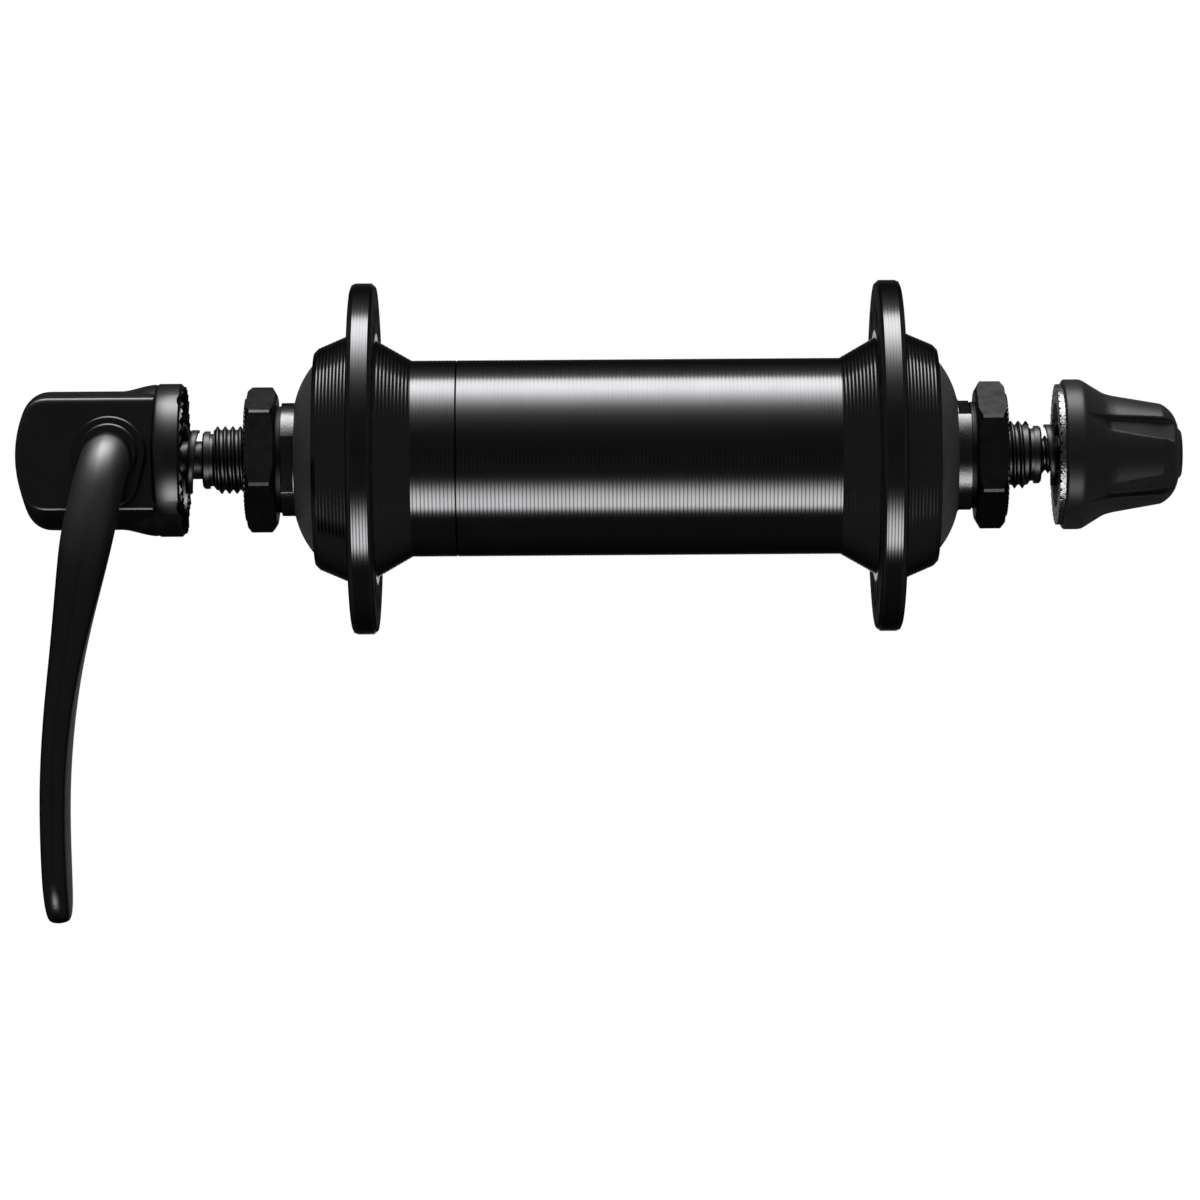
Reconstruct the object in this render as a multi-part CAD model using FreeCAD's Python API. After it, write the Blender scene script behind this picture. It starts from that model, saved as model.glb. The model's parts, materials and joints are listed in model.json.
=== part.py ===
import FreeCAD, Part
import math
import os
from FreeCAD import Vector

# A quick-release front hub. Millimetres. X runs along the axle, with the
# nut end at +X and the lever end at -X. Z is up, and the lever hangs down.
# The origin is the middle of the hub, on the axle's centre line.

# Axle and what is screwed on it
over_locknut = 100.0
axle_diameter = 8.9
axle_bore = 5.4
axle_overhang_lever = 5.6
axle_overhang_nut = 4.5
axle_tip_diameter = 7.6
axle_tip_length = 0.9
axle_groove_diameter = 6.9
axle_groove_width = 0.45
locknut_across_flats = 17.0
locknut_thickness = 4.2
locknut_chamfer_deg = 30.0
locknut_face_share = 0.94
locknut_turn_lever_deg = -9.5
washer_thickness = 0.6
washer_diameter = 14.0
thread_gap = 0.05

# Bearing: balls between a pressed cup and a cone
ball_diameter = 4.76
ball_circle = 17.2
ball_count = 10
ball_sides = 12
ball_bands = 6
race_gap = 0.05
race_depth = 7.6
cup_wall = 0.97
cup_mouth_depth = 1.3
cup_length = 5.4
cup_bore = 15.2
cone_length = 9.0
cone_diameter = 14.9
cone_across_flats = 13.0
cone_flats_length = 1.6
cone_shoulder_height = 0.35
cone_turn_lever_deg = 7.0
cone_turn_nut_deg = -74.5
cage_thickness = 0.7
cage_play = 0.05
cage_place = 1.2
cage_inner_gap = 0.15
cage_outer_gap = 0.2

# Dust cover and seal
cover_length = 3.75
cover_rim_gap = 0.3
cover_wall = 0.8
cover_nose_step = 0.38
cover_nose_place = 2.15
cover_nose_back = 0.2
cover_rim_step = 0.2
cover_hub_height = 2.2
cover_bulge = 0.3
cover_dome_steps = 4
seal_thickness = 1.0
seal_lip = 0.5
seal_gap = 0.3
seal_front_rise = 1.4
seal_back_rise = 2.0
seal_clear = 0.15

# Shell
shell_inset = 8.95
mouth_step = 0.85
mouth_depth = 2.1
end_wall = 1.15
end_chamfer = 0.7
end_cone_rise = 1.7
flange_inset = 6.65
flange_thickness = 3.3
flange_diameter = 46.2
flange_rounding = 0.7
flange_chamfer = 0.5
barrel_diameter = 25.8
barrel_cone_length = 4.7
barrel_cone_rise = 2.7
tunnel_diameter = 21.0
spoke_circle = 38.0
spoke_count = 18
spoke_hole = 2.6
spoke_start_lever_deg = 12.0

# Skewer rod and cam
rod_diameter = 5.0
rod_end_in_nut = 10.7
pivot_depth = 9.6
cam_throw = 1.0
cam_diameter = 5.6
cam_play = 0.3
eye_wall = 1.5
eye_thickness = 5.0
eye_side_play = 0.3
journal_diameter = 7.8
journal_gap = 0.05

# Teeth of the clamp faces. Each groove fills a share of the teeth's pitch.
tooth_groove_share = 0.42
tooth_cut_spare = 0.2
tooth_side_spare = 0.5

# Lever housing
grip_lever = 7.8
housing_length = 21.9
housing_width = 15.2
housing_height = 17.1
housing_end_radius = 23.0
housing_edge_round = 1.8
housing_corner = 3.2
clamp_disc_diameter = 20.14
clamp_disc_thickness = 3.7
clamp_disc_edge = 0.4
flare_length = 4.0
flare_bow = 0.35
flare_steps = 4
scallop_radius = 4.0
scallop_depth = 0.8
scallop_reach = 1.3
scallop_run = 3
spring_pocket_diameter = 14.4
spring_pocket_depth = 5.0
housing_teeth = 36
housing_tooth_depth = 0.35

# Lever. Each station is a share of the arm's length, how far its middle
# leans out from the pivot and stands in front of the axle, its thickness
# and its width. The skewer is turned a little about the axle at rest, which
# brings the lever forward.
skewer_turn_deg = -5.3
lever_length = 61.0
lever_stations = [
    (0.00, 0.0, 12.2, 6.7, 6.8),
    (0.19, 2.58, 11.6, 7.2, 7.6),
    (0.31, 3.96, 10.0, 5.65, 9.0),
    (0.43, 5.32, 8.1, 4.3, 10.8),
    (0.56, 6.53, 6.6, 3.65, 12.0),
    (0.72, 7.23, 5.5, 3.35, 12.6),
    (0.88, 6.95, 4.9, 3.35, 12.6),
    (1.00, 6.49, 4.6, 3.3, 12.4),
]
lever_corner_share = 0.46
lever_corner_steps = 3
lever_foot_radius = 4.8
lever_foot_toe_radius = 3.8
lever_foot_toe_reach = 3.3
lever_foot_lean_deg = -5.0
lever_foot_thickness = 1.0
lever_collar_radius = 3.8
lever_collar_thickness = 0.8
lever_running_gap = 0.1
cap_diameter = 8.4
cap_height = 2.4
cap_wall = 0.8
cap_top_radius = 0.5
cap_bulge = 0.45
cap_steps = 4
cap_stem_diameter = 4.4
cap_stem_length = 2.0

# Adjusting nut and its steel insert
grip_nut = 6.5
insert_proud = 0.7
insert_diameter = 18.5
insert_flange = 1.8
insert_dish_diameter = 13.8
insert_dish_depth = 1.3
insert_pocket_diameter = 11.4
insert_pocket_depth = 4.7
insert_cup_wall = 0.9
insert_stem_diameter = 9.0
insert_length = 12.2
insert_teeth = 46
insert_tooth_depth = 0.3
nut_length = 15.8
nut_base_diameter = 19.74
nut_base_length = 2.6
nut_edge = 0.3
nut_taper_length = 3.3
nut_waist_diameter = 15.6
nut_end_diameter = 13.16
nut_end_length = 2.7
nut_end_bulge = 0.5
nut_end_steps = 4
nut_button_diameter = 6.8
nut_button_height = 0.45
nut_bore_spare = 3.0
flute_count = 5
flute_first_deg = 31.0
flute_width = 3.3
flute_side_draft = 0.45
flute_start = 4.4
flute_start_rise = 0.5
flute_end_depth = 1.6
flute_cut_spare = 1.0

# Centring springs
spring_wire = 0.8
spring_wire_sides = 8
spring_turns = 3.0
spring_small_diameter = 7.5
spring_seat_play = 0.3
spring_end_gap = 0.4
spring_floor_gap = 0.05
coil_checks = 60

# Places along the axle that the sizes above lead to
locknut_face = over_locknut / 2
locknut_back = locknut_face - locknut_thickness
cone_end = locknut_back - washer_thickness
cone_nose = cone_end - cone_length
ball_place = cone_end - race_depth
cup_mouth = ball_place + cup_mouth_depth
cup_back = cup_mouth - cup_length
shell_end = locknut_face - shell_inset
flange_place = shell_end - flange_inset
clamp_face = -(locknut_face + grip_lever)
pivot_place = clamp_face - pivot_depth
insert_face = locknut_face + grip_nut
nut_face = insert_face + insert_proud
rod_end = insert_face + rod_end_in_nut

# Radii that more than one piece uses
axle_radius = axle_diameter / 2
thread_bore = axle_radius + thread_gap
ball_radius = ball_diameter / 2
ball_ring = ball_circle / 2
race_radius = ball_radius + race_gap
race_slope = race_radius * math.tan(math.pi / 8)
cup_radius = ball_ring + race_radius + cup_wall
mouth_radius = cup_radius + mouth_step
cone_radius = cone_diameter / 2
cone_shoulder_radius = cone_radius + cone_shoulder_height
rod_radius = rod_diameter / 2
rod_bore = rod_radius + thread_gap

near_zero = 0.001
along = Vector(1, 0, 0)
origin = Vector(0, 0, 0)


def at(x, r):
    return Vector(x, 0, r)


def lathe(*outline):
    """A solid turned about the axle from a closed outline of (place, radius)."""
    corners = [at(place, radius) for place, radius in outline]
    face = Part.Face(Part.makePolygon(corners + corners[:1]))
    return face.revolve(origin, along, 360)


def bulged(start, end, bulge, steps):
    """Points from start to end, both (place, radius), in short steps on an
    arc. It stands out from the straight line by the bulge, or is hollowed
    by it where it is negative."""
    run = Vector(end[0] - start[0], end[1] - start[1], 0)
    out = Vector(-run.y, run.x, 0)
    if out.y < 0:
        out = -out
    out.normalize()
    points = []
    for i in range(steps + 1):
        share = i / steps
        rise = 4 * bulge * share * (1 - share)
        place = start[0] + run.x * share + out.x * rise
        radius = start[1] + run.y * share + out.y * rise
        points.append((place, radius))
    return points


def ring(start, end, inner, outer):
    return lathe((start, inner), (end, inner), (end, outer), (start, outer))


def rod(start, end, radius):
    return Part.makeCylinder(radius, end - start, at(start, 0), along)


def cross_rod(x, z, start, end, radius):
    """A cylinder square to the axle, from one depth to another along Y."""
    return Part.makeCylinder(radius, end - start, Vector(x, start, z), Vector(0, 1, 0))


def other_side(shape):
    return shape.mirror(origin, along)


def turned(shape, angle, place=origin, axis=along):
    copy = shape.copy()
    copy.rotate(place, axis, angle)
    return copy


def around(shape, count, first=0.0):
    return [turned(shape, first + 360.0 * i / count) for i in range(count)]


# Shell

def shell_half_outline():
    """The right half of the shell, from the barrel out to the mouth and back
    in to the tunnel."""
    inner = flange_place - flange_thickness / 2
    outer = flange_place + flange_thickness / 2
    rim = flange_diameter / 2
    face = mouth_radius + end_wall
    root = face + end_chamfer + end_cone_rise
    barrel = barrel_diameter / 2
    corner = flange_rounding * (1 - math.sqrt(0.5))
    pocket_floor = shell_end - mouth_depth
    return [
        (inner - barrel_cone_length, barrel),
        (inner, barrel + barrel_cone_rise),
        (inner, rim - flange_chamfer),
        (inner + flange_chamfer, rim),
        (outer - flange_rounding, rim),
        (outer - corner, rim - corner),
        (outer, rim - flange_rounding),
        (outer, root),
        (shell_end - end_chamfer, face + end_chamfer),
        (shell_end, face),
        (shell_end, mouth_radius),
        (pocket_floor, mouth_radius),
        (pocket_floor, cup_radius),
        (cup_back, cup_radius),
        (cup_back, tunnel_diameter / 2),
    ]


def flipped_outline(outline):
    """The same outline on the lever side, in the reverse order."""
    return [(-place, radius) for place, radius in reversed(outline)]


def hub_shell():
    half = shell_half_outline()
    body = lathe(*half, *flipped_outline(half))
    drill = rod(flange_place - flange_thickness, flange_place + flange_thickness, spoke_hole / 2)
    drill.translate(Vector(0, 0, spoke_circle / 2))
    holes = around(other_side(drill), spoke_count, spoke_start_lever_deg)
    half_pitch = 180.0 / spoke_count
    holes += around(drill, spoke_count, spoke_start_lever_deg + half_pitch)
    return body.cut(holes)


# Bearing

def bearing_cup():
    bore = cup_bore / 2
    outer = ball_ring + race_radius
    return lathe(
        (cup_back, bore),
        (cup_back, cup_radius),
        (cup_mouth, cup_radius),
        (cup_mouth, outer),
        (ball_place - race_slope, outer),
        (ball_place - race_radius, ball_ring + race_slope),
        (ball_place - race_radius, bore),
    )


def ball():
    """A bearing ball in flat facets, which keeps the set of them light."""
    rows = []
    for i in range(1, ball_bands):
        slope = math.pi * i / ball_bands
        row = []
        for j in range(ball_sides + 1):
            a = 2 * math.pi * j / ball_sides
            out = ball_radius * math.sin(slope)
            row.append(Vector(ball_radius * math.cos(slope), out * math.sin(a), out * math.cos(a)))
        rows.append(row)
    top = Vector(ball_radius, 0, 0)
    outlines = []
    for j in range(ball_sides):
        outlines.append([top, rows[0][j], rows[0][j + 1], top])
        outlines.append([-top, rows[-1][j], rows[-1][j + 1], -top])
        for upper, lower in zip(rows, rows[1:]):
            outlines.append([upper[j], upper[j + 1], lower[j + 1], lower[j], upper[j]])
    faces = [Part.Face(Part.makePolygon(points)) for points in outlines]
    solid = Part.Solid(Part.Shell(faces))
    if solid.Volume < 0:
        solid.reverse()
    solid.translate(at(ball_place, ball_ring))
    return solid


def ball_set():
    return Part.makeCompound(around(ball(), ball_count))


def ball_retainer():
    start = ball_place + cage_place
    inner = cone_shoulder_radius + cage_inner_gap
    outer = ball_ring + race_radius - cage_outer_gap
    cage = ring(start, start + cage_thickness, inner, outer)
    reach = math.sqrt(ball_radius ** 2 - cage_place ** 2)
    pocket = rod(start, start + cage_thickness, reach + cage_play)
    pocket.translate(Vector(0, 0, ball_ring))
    return cage.cut(around(pocket, ball_count))


def cone():
    nose = ball_ring - race_radius
    body = lathe(
        (cone_nose, thread_bore),
        (cone_nose, nose),
        (ball_place + race_slope, nose),
        (ball_place + race_radius, ball_ring - race_slope),
        (ball_place + race_radius, cone_shoulder_radius),
        (cover_seat(), cone_shoulder_radius),
        (cover_seat(), cone_radius),
        (cone_end, cone_radius),
        (cone_end, thread_bore),
    )
    flat_start = cone_end - cone_flats_length
    half = cone_across_flats / 2
    slab = Part.makeBox(
        cone_flats_length,
        cone_diameter,
        cone_diameter,
        Vector(flat_start, half, -cone_radius),
    )
    return body.cut([slab, turned(slab, 180)])


def cover_seat():
    """Where the dust cover sits against the cone's shoulder."""
    return cone_end - cone_flats_length - cover_nose_place


def dust_cover():
    nose = cone_end - cone_flats_length - cover_nose_back
    skirt = mouth_radius - cover_rim_gap
    rim = shell_end + cover_rim_step
    back = nose - cover_length
    hub = cone_radius + cover_hub_height
    dome = bulged((nose, cone_radius + cover_nose_step), (rim, skirt), cover_bulge, cover_dome_steps)
    return lathe(
        (cover_seat(), cone_radius),
        (nose, cone_radius),
        *dome,
        (back, skirt),
        (back, skirt - cover_wall),
        (rim, skirt - cover_wall),
        (cover_seat() + cover_wall, hub),
        (cover_seat(), hub),
    )


def seal_ring():
    back = ball_place + race_radius + seal_clear
    front = back + seal_thickness
    base = cone_shoulder_radius
    tip = mouth_radius - cover_rim_gap - cover_wall - seal_gap
    lip_back = cup_mouth + seal_gap
    return lathe(
        (back, base),
        (front, base),
        (front, base + seal_front_rise),
        (lip_back + seal_lip, tip),
        (lip_back, tip),
        (back, base + seal_back_rise),
    )


# Axle, washers and locknuts

def axle():
    left = -(locknut_face + axle_overhang_lever)
    right = locknut_face + axle_overhang_nut
    tip = axle_tip_diameter / 2
    groove = axle_groove_diameter / 2
    step = axle_tip_length + axle_groove_width
    bore = axle_bore / 2
    return lathe(
        (left, bore),
        (left, tip),
        (left + axle_tip_length, tip),
        (left + axle_tip_length, groove),
        (left + step, groove),
        (left + step, axle_radius),
        (right - step, axle_radius),
        (right - step, groove),
        (right - axle_tip_length, groove),
        (right - axle_tip_length, tip),
        (right, tip),
        (right, bore),
    )


def lock_washer():
    return ring(cone_end, locknut_back, thread_bore, washer_diameter / 2)


def locknut():
    flat = locknut_across_flats / 2
    corner = flat / math.cos(math.radians(30))
    corners = []
    for i in range(7):
        a = math.radians(60 * i)
        corners.append(Vector(locknut_back, corner * math.sin(a), corner * math.cos(a)))
    prism = Part.Face(Part.makePolygon(corners)).extrude(Vector(locknut_thickness, 0, 0))
    face = locknut_face_share * flat
    drop = (corner - face) * math.tan(math.radians(locknut_chamfer_deg))
    envelope = lathe(
        (locknut_back, thread_bore),
        (locknut_back, face),
        (locknut_back + drop, corner),
        (locknut_face - drop, corner),
        (locknut_face, face),
        (locknut_face, thread_bore),
    )
    return prism.common(envelope)


# Clamp faces

def tooth_cutters(face, inner, outer, count, depth, into):
    """V grooves that run out from the axle across a clamp face. They go
    into the face along +X or -X, and are as wide as the teeth's pitch."""
    half = tooth_groove_share * math.pi / count
    near = inner * math.tan(half)
    far = outer * math.tan(half)
    proud = -into * tooth_cut_spare
    grow = (depth + tooth_cut_spare) / depth
    start = Part.makePolygon([
        Vector(face + proud, -near * grow, inner),
        Vector(face + proud, near * grow, inner),
        Vector(face + into * depth, 0, inner),
        Vector(face + proud, -near * grow, inner),
    ])
    end = Part.makePolygon([
        Vector(face + proud, -far * grow, outer),
        Vector(face + proud, far * grow, outer),
        Vector(face + into * depth, 0, outer),
        Vector(face + proud, -far * grow, outer),
    ])
    groove = Part.makeLoft([start, end], True, True)
    return around(groove, count, 180.0 / count)


# Lever housing

def housing_side_outline(right):
    """The housing seen from the front: flat above and below, with a domed
    end that runs into both through a corner arc."""
    left = clamp_face - housing_length
    half = housing_height / 2
    dome = housing_end_radius
    corner = housing_corner
    dome_middle = left + dome
    corner_middle = dome_middle - math.sqrt((dome - corner) ** 2 - (half - corner) ** 2)
    lean = math.atan2(half - corner, dome_middle - corner_middle)
    meet_x = dome_middle - dome * math.cos(lean)
    meet_z = dome * math.sin(lean)
    turn = (math.pi / 2 + lean) / 2
    bend_x = corner_middle - corner * math.cos(turn)
    bend_z = half - corner + corner * math.sin(turn)
    top_start = at(corner_middle, half)
    top_meet = at(meet_x, meet_z)
    low_meet = at(meet_x, -meet_z)
    low_start = at(corner_middle, -half)
    edges = [
        Part.LineSegment(at(right, half), top_start),
        Part.Arc(top_start, at(bend_x, bend_z), top_meet),
        Part.Arc(top_meet, at(left, 0), low_meet),
        Part.Arc(low_meet, at(bend_x, -bend_z), low_start),
        Part.LineSegment(low_start, at(right, -half)),
        Part.LineSegment(at(right, -half), at(right, half)),
    ]
    return Part.Face(Part.Wire([e.toShape() for e in edges]))


def housing_body():
    right = clamp_face - clamp_disc_thickness / 2
    face = housing_side_outline(right)
    face.translate(Vector(0, -housing_width / 2, 0))
    body = face.extrude(Vector(0, housing_width, 0))
    rims = [
        e for e in body.Edges
        if e.BoundBox.YLength < near_zero and e.BoundBox.XMin < right - near_zero
    ]
    return body.makeFillet(housing_edge_round, rims)


def housing_flare():
    """The body widens into the clamp disc above and below its flat sides."""
    disc = clamp_disc_diameter / 2
    disc_start = clamp_face - clamp_disc_thickness
    start = disc_start - flare_length
    slope = bulged((start, housing_height / 2), (disc_start, disc), -flare_bow, flare_steps)
    bell = lathe((start, 0), *slope, (disc_start, 0))
    flats = Part.makeBox(
        flare_length,
        housing_width,
        clamp_disc_diameter,
        Vector(start, -housing_width / 2, -disc),
    )
    return bell.common(flats)


def scallops():
    """Four hollows in the rim of the clamp face."""
    disc = clamp_disc_diameter / 2
    run = Vector(-scallop_depth, 0, scallop_reach)
    run.normalize()
    out = Vector(scallop_reach, 0, scallop_depth)
    out.normalize()
    reach = scallop_run * scallop_reach
    middle = Vector(clamp_face - scallop_depth / 2, 0, disc - scallop_reach / 2)
    start = middle + out * scallop_radius - run * reach
    cutter = Part.makeCylinder(scallop_radius, 2 * reach, start, run)
    return around(cutter, 4, 45)


def housing_hollow():
    """The spring's pocket, the slot that the rod's eye moves in, and the
    bore for the lever's shaft."""
    pocket_floor = clamp_face - spring_pocket_depth
    pocket = rod(pocket_floor, clamp_face, spring_pocket_diameter / 2)
    half_eye_x = cam_diameter / 2 + cam_play + eye_wall
    half_eye_z = half_eye_x + cam_throw
    slot_end = pivot_place - cam_throw - half_eye_x - eye_side_play
    slot_width = eye_thickness + 2 * eye_side_play
    slot_height = 2 * (half_eye_z + eye_side_play)
    slot = Part.makeBox(
        pocket_floor - slot_end,
        slot_width,
        slot_height,
        Vector(slot_end, -slot_width / 2, -slot_height / 2),
    )
    bore = cross_rod(
        pivot_place,
        0,
        -housing_width,
        housing_width,
        journal_diameter / 2 + journal_gap,
    )
    return pocket.multiFuse([slot, bore])


def lever_housing():
    disc_start = clamp_face - clamp_disc_thickness
    disc = lathe(
        (disc_start, 0),
        (disc_start, clamp_disc_diameter / 2 - clamp_disc_edge),
        (disc_start + clamp_disc_edge, clamp_disc_diameter / 2),
        (clamp_face, clamp_disc_diameter / 2),
        (clamp_face, 0),
    )
    solid = housing_body().multiFuse([housing_flare(), disc])
    solid = solid.cut(housing_hollow())
    solid = solid.cut(scallops())
    teeth = tooth_cutters(
        clamp_face,
        spring_pocket_diameter / 2 - tooth_side_spare,
        clamp_disc_diameter / 2 + tooth_side_spare,
        housing_teeth,
        housing_tooth_depth,
        -1,
    )
    return solid.cut(teeth)


# Lever

def rounded_section(centre, run, thickness, width):
    """A rounded oblong square to the arm, wide along Y as far as the arm's
    run lets it be. Its corners are rounded in short steps."""
    wide = Vector(0, 1, 0)
    wide = wide - run * run.dot(wide)
    wide.normalize()
    thick = run.cross(wide)
    corner = lever_corner_share * min(thickness, width)
    points = []
    for quarter, (su, sv) in enumerate(((1, 1), (-1, 1), (-1, -1), (1, -1))):
        for step in range(lever_corner_steps + 1):
            a = math.radians(90 * (quarter + step / lever_corner_steps))
            u = su * (thickness / 2 - corner) + corner * math.cos(a)
            v = sv * (width / 2 - corner) + corner * math.sin(a)
            points.append(centre + thick * u + wide * v)
    return Part.makePolygon(points + points[:1])


def lever_middle():
    places = []
    for share, lean, stand, _, _ in lever_stations:
        places.append(Vector(pivot_place - lean, -stand, -share * lever_length))
    return places


def lever_arm():
    places = lever_middle()
    curve = Part.BSplineCurve()
    curve.interpolate(places)
    sections = []
    for place, station in zip(places, lever_stations):
        run = curve.tangent(curve.parameter(place))[0]
        sections.append(rounded_section(place, run, station[3], station[4]))
    return Part.makeLoft(sections, True, False)


def lever_reach():
    """All that the arm may fill: everything above a half round at its tip."""
    width = lever_stations[-1][4]
    tip = lever_middle()[-1]
    across = lever_length
    round_end = Part.makeCylinder(
        width / 2,
        across,
        Vector(tip.x - across / 2, tip.y, tip.z + width / 2),
        along,
    )
    above = Part.makeBox(
        across,
        across,
        2 * lever_length,
        Vector(tip.x - across / 2, tip.y - across / 2, tip.z + width / 2),
    )
    return above.fuse(round_end)


def lever_foot():
    """The flat foot on the housing's side, and the collar on the foot."""
    side = -housing_width / 2 - lever_running_gap
    front = side - lever_foot_thickness
    big = lever_foot_radius
    small = lever_foot_toe_radius
    reach = lever_foot_toe_reach
    edge = math.acos((big - small) / reach)
    heel = cross_rod(0, 0, front, side, big)
    toe = cross_rod(reach, 0, front, side, small)
    heel_x = big * math.cos(edge)
    heel_z = big * math.sin(edge)
    toe_x = reach + small * math.cos(edge)
    toe_z = small * math.sin(edge)
    web = Part.makePolygon([
        Vector(heel_x, front, heel_z),
        Vector(toe_x, front, toe_z),
        Vector(toe_x, front, -toe_z),
        Vector(heel_x, front, -heel_z),
        Vector(heel_x, front, heel_z),
    ])
    web = Part.Face(web).extrude(Vector(0, lever_foot_thickness, 0))
    collar = cross_rod(0, 0, front - lever_collar_thickness, front, lever_collar_radius)
    foot = heel.multiFuse([toe, web, collar])
    foot.rotate(origin, Vector(0, 1, 0), 90 + lever_foot_lean_deg)
    foot.translate(Vector(pivot_place, 0, 0))
    return foot


def cam_shaft():
    """Two bearing lengths with the cam between them, off their centre."""
    side = housing_width / 2
    half_cam = eye_thickness / 2 + eye_side_play
    journal = journal_diameter / 2
    front = cross_rod(pivot_place, 0, -side - lever_running_gap, -half_cam, journal)
    back = cross_rod(pivot_place, 0, half_cam, side, journal)
    cam = cross_rod(pivot_place - cam_throw, 0, -half_cam, half_cam, cam_diameter / 2)
    hole = cross_rod(pivot_place, 0, side - cap_stem_length, side, cap_stem_diameter / 2)
    return front.multiFuse([back, cam]).cut(hole)


def cam_lever():
    """The arm ends in a round neck that stands on the foot's collar."""
    _, _, stand, neck, _ = lever_stations[0]
    knuckle = Part.makeSphere(neck / 2, Vector(pivot_place, -stand, 0))
    collar_face = -housing_width / 2 - lever_running_gap - lever_foot_thickness
    stub = cross_rod(pivot_place, 0, -stand, collar_face, neck / 2)
    arm = lever_arm().common(lever_reach())
    return arm.multiFuse([knuckle, stub, lever_foot(), cam_shaft()]).removeSplitter()


def pivot_cap():
    """A domed button behind the housing, on a stem in the shaft's end."""
    side = housing_width / 2
    start = side + lever_running_gap
    stem = cap_stem_diameter / 2
    stem_start = side - cap_stem_length
    crown = start + cap_height
    dome = bulged((start + cap_wall, cap_diameter / 2), (crown, cap_top_radius), cap_bulge, cap_steps)
    cap = lathe(
        (stem_start, 0),
        (stem_start, stem),
        (start, stem),
        (start, cap_diameter / 2),
        *dome,
        (crown, 0),
    )
    cap.rotate(origin, Vector(0, 0, 1), 90)
    cap.translate(Vector(pivot_place, 0, 0))
    return cap


# Skewer rod

def skewer_rod():
    eye_place = pivot_place - cam_throw
    hole = cam_diameter / 2 + cam_play
    outer = hole + eye_wall
    half = eye_thickness / 2

    def oval(radius, depth):
        top = cross_rod(eye_place, cam_throw, -depth, depth, radius)
        bottom = cross_rod(eye_place, -cam_throw, -depth, depth, radius)
        middle = Part.makeBox(
            2 * radius,
            2 * depth,
            2 * cam_throw,
            Vector(eye_place - radius, -depth, -cam_throw),
        )
        return top.multiFuse([bottom, middle])

    shank = rod(eye_place + hole, rod_end, rod_radius)
    return oval(outer, half).fuse(shank).cut(oval(hole, 2 * half)).removeSplitter()


# Adjusting nut

def nut_insert():
    dish = insert_dish_diameter / 2
    pocket = insert_pocket_diameter / 2
    cup = pocket + insert_cup_wall
    floor = insert_face + insert_pocket_depth
    cup_end = floor + insert_cup_wall
    body = lathe(
        (insert_face, dish),
        (insert_face + insert_dish_depth, pocket),
        (floor, pocket),
        (floor, rod_bore),
        (insert_face + insert_length, rod_bore),
        (insert_face + insert_length, insert_stem_diameter / 2),
        (cup_end, insert_stem_diameter / 2),
        (cup_end, cup),
        (insert_face + insert_flange, cup),
        (insert_face + insert_flange, insert_diameter / 2),
        (insert_face, insert_diameter / 2),
    )
    teeth = tooth_cutters(
        insert_face,
        dish - tooth_side_spare,
        insert_diameter / 2 + tooth_side_spare,
        insert_teeth,
        insert_tooth_depth,
        1,
    )
    return body.cut(teeth)


def nut_flute():
    """A wedge that cuts one flute, open towards the nut's end."""
    waist = nut_waist_diameter / 2
    start = nut_face + flute_start
    end = nut_face + nut_length + flute_cut_spare
    floor_start = waist + flute_start_rise
    floor_end = nut_end_diameter / 2 - flute_end_depth
    top = nut_base_diameter

    def section(x, floor):
        low = flute_width / 2
        high = low + flute_side_draft * (top - floor)
        return Part.makePolygon([
            Vector(x, -low, floor),
            Vector(x, low, floor),
            Vector(x, high, top),
            Vector(x, -high, top),
            Vector(x, -low, floor),
        ])

    return Part.makeLoft([section(start, floor_start), section(end, floor_end)], True, True)


def adjusting_nut():
    base = nut_base_diameter / 2
    waist = nut_waist_diameter / 2
    end_radius = nut_end_diameter / 2
    button = nut_button_diameter / 2
    nut_end = nut_face + nut_length
    button_start = nut_end - nut_button_height
    end_start = nut_end - nut_end_length
    base_end = nut_face + nut_base_length
    spare_end = rod_end + nut_bore_spare
    pocket = insert_pocket_diameter / 2 + insert_cup_wall
    cup_end = insert_face + insert_pocket_depth + insert_cup_wall
    seat = insert_face + insert_flange
    stem_end = insert_face + insert_length
    body = lathe(
        (nut_face, 0),
        (nut_face, base - nut_edge),
        (nut_face + nut_edge, base),
        (base_end, base),
        (base_end + nut_taper_length, waist),
        *bulged((end_start, end_radius), (button_start, button), nut_end_bulge, nut_end_steps),
        (nut_end, button - nut_button_height),
        (nut_end, 0),
    )
    flutes = around(nut_flute(), flute_count, 90 - flute_first_deg)
    body = body.cut(flutes)
    hollow = rod(nut_face, seat, insert_diameter / 2)
    hollow = hollow.multiFuse([
        rod(seat, cup_end, pocket),
        rod(cup_end, stem_end, insert_stem_diameter / 2),
        rod(stem_end, spare_end, rod_bore),
    ])
    return body.cut(hollow)


# Centring springs

def coil_point(t, start, end, big, small, turns):
    """A point and the direction of travel on a coil that narrows evenly."""
    angle = 2 * math.pi * turns * t
    radius = big + (small - big) * t
    rate = 2 * math.pi * turns
    point = Vector(start + (end - start) * t, radius * math.sin(angle), radius * math.cos(angle))
    way = Vector(
        end - start,
        (small - big) * math.sin(angle) + radius * rate * math.cos(angle),
        (small - big) * math.cos(angle) - radius * rate * math.sin(angle),
    )
    way.normalize()
    return point, way


def arc_between(start, corner, end):
    """The arc that leaves start and reaches end along the corner's sides."""
    middle = (start + end) * 0.5
    rise = (corner - middle).Length
    half = (end - start).Length / 2
    sagitta = half * math.tan(math.atan2(rise, half) / 2)
    return Part.Arc(start, middle + (corner - middle) * (sagitta / rise), end).toShape()


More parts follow.
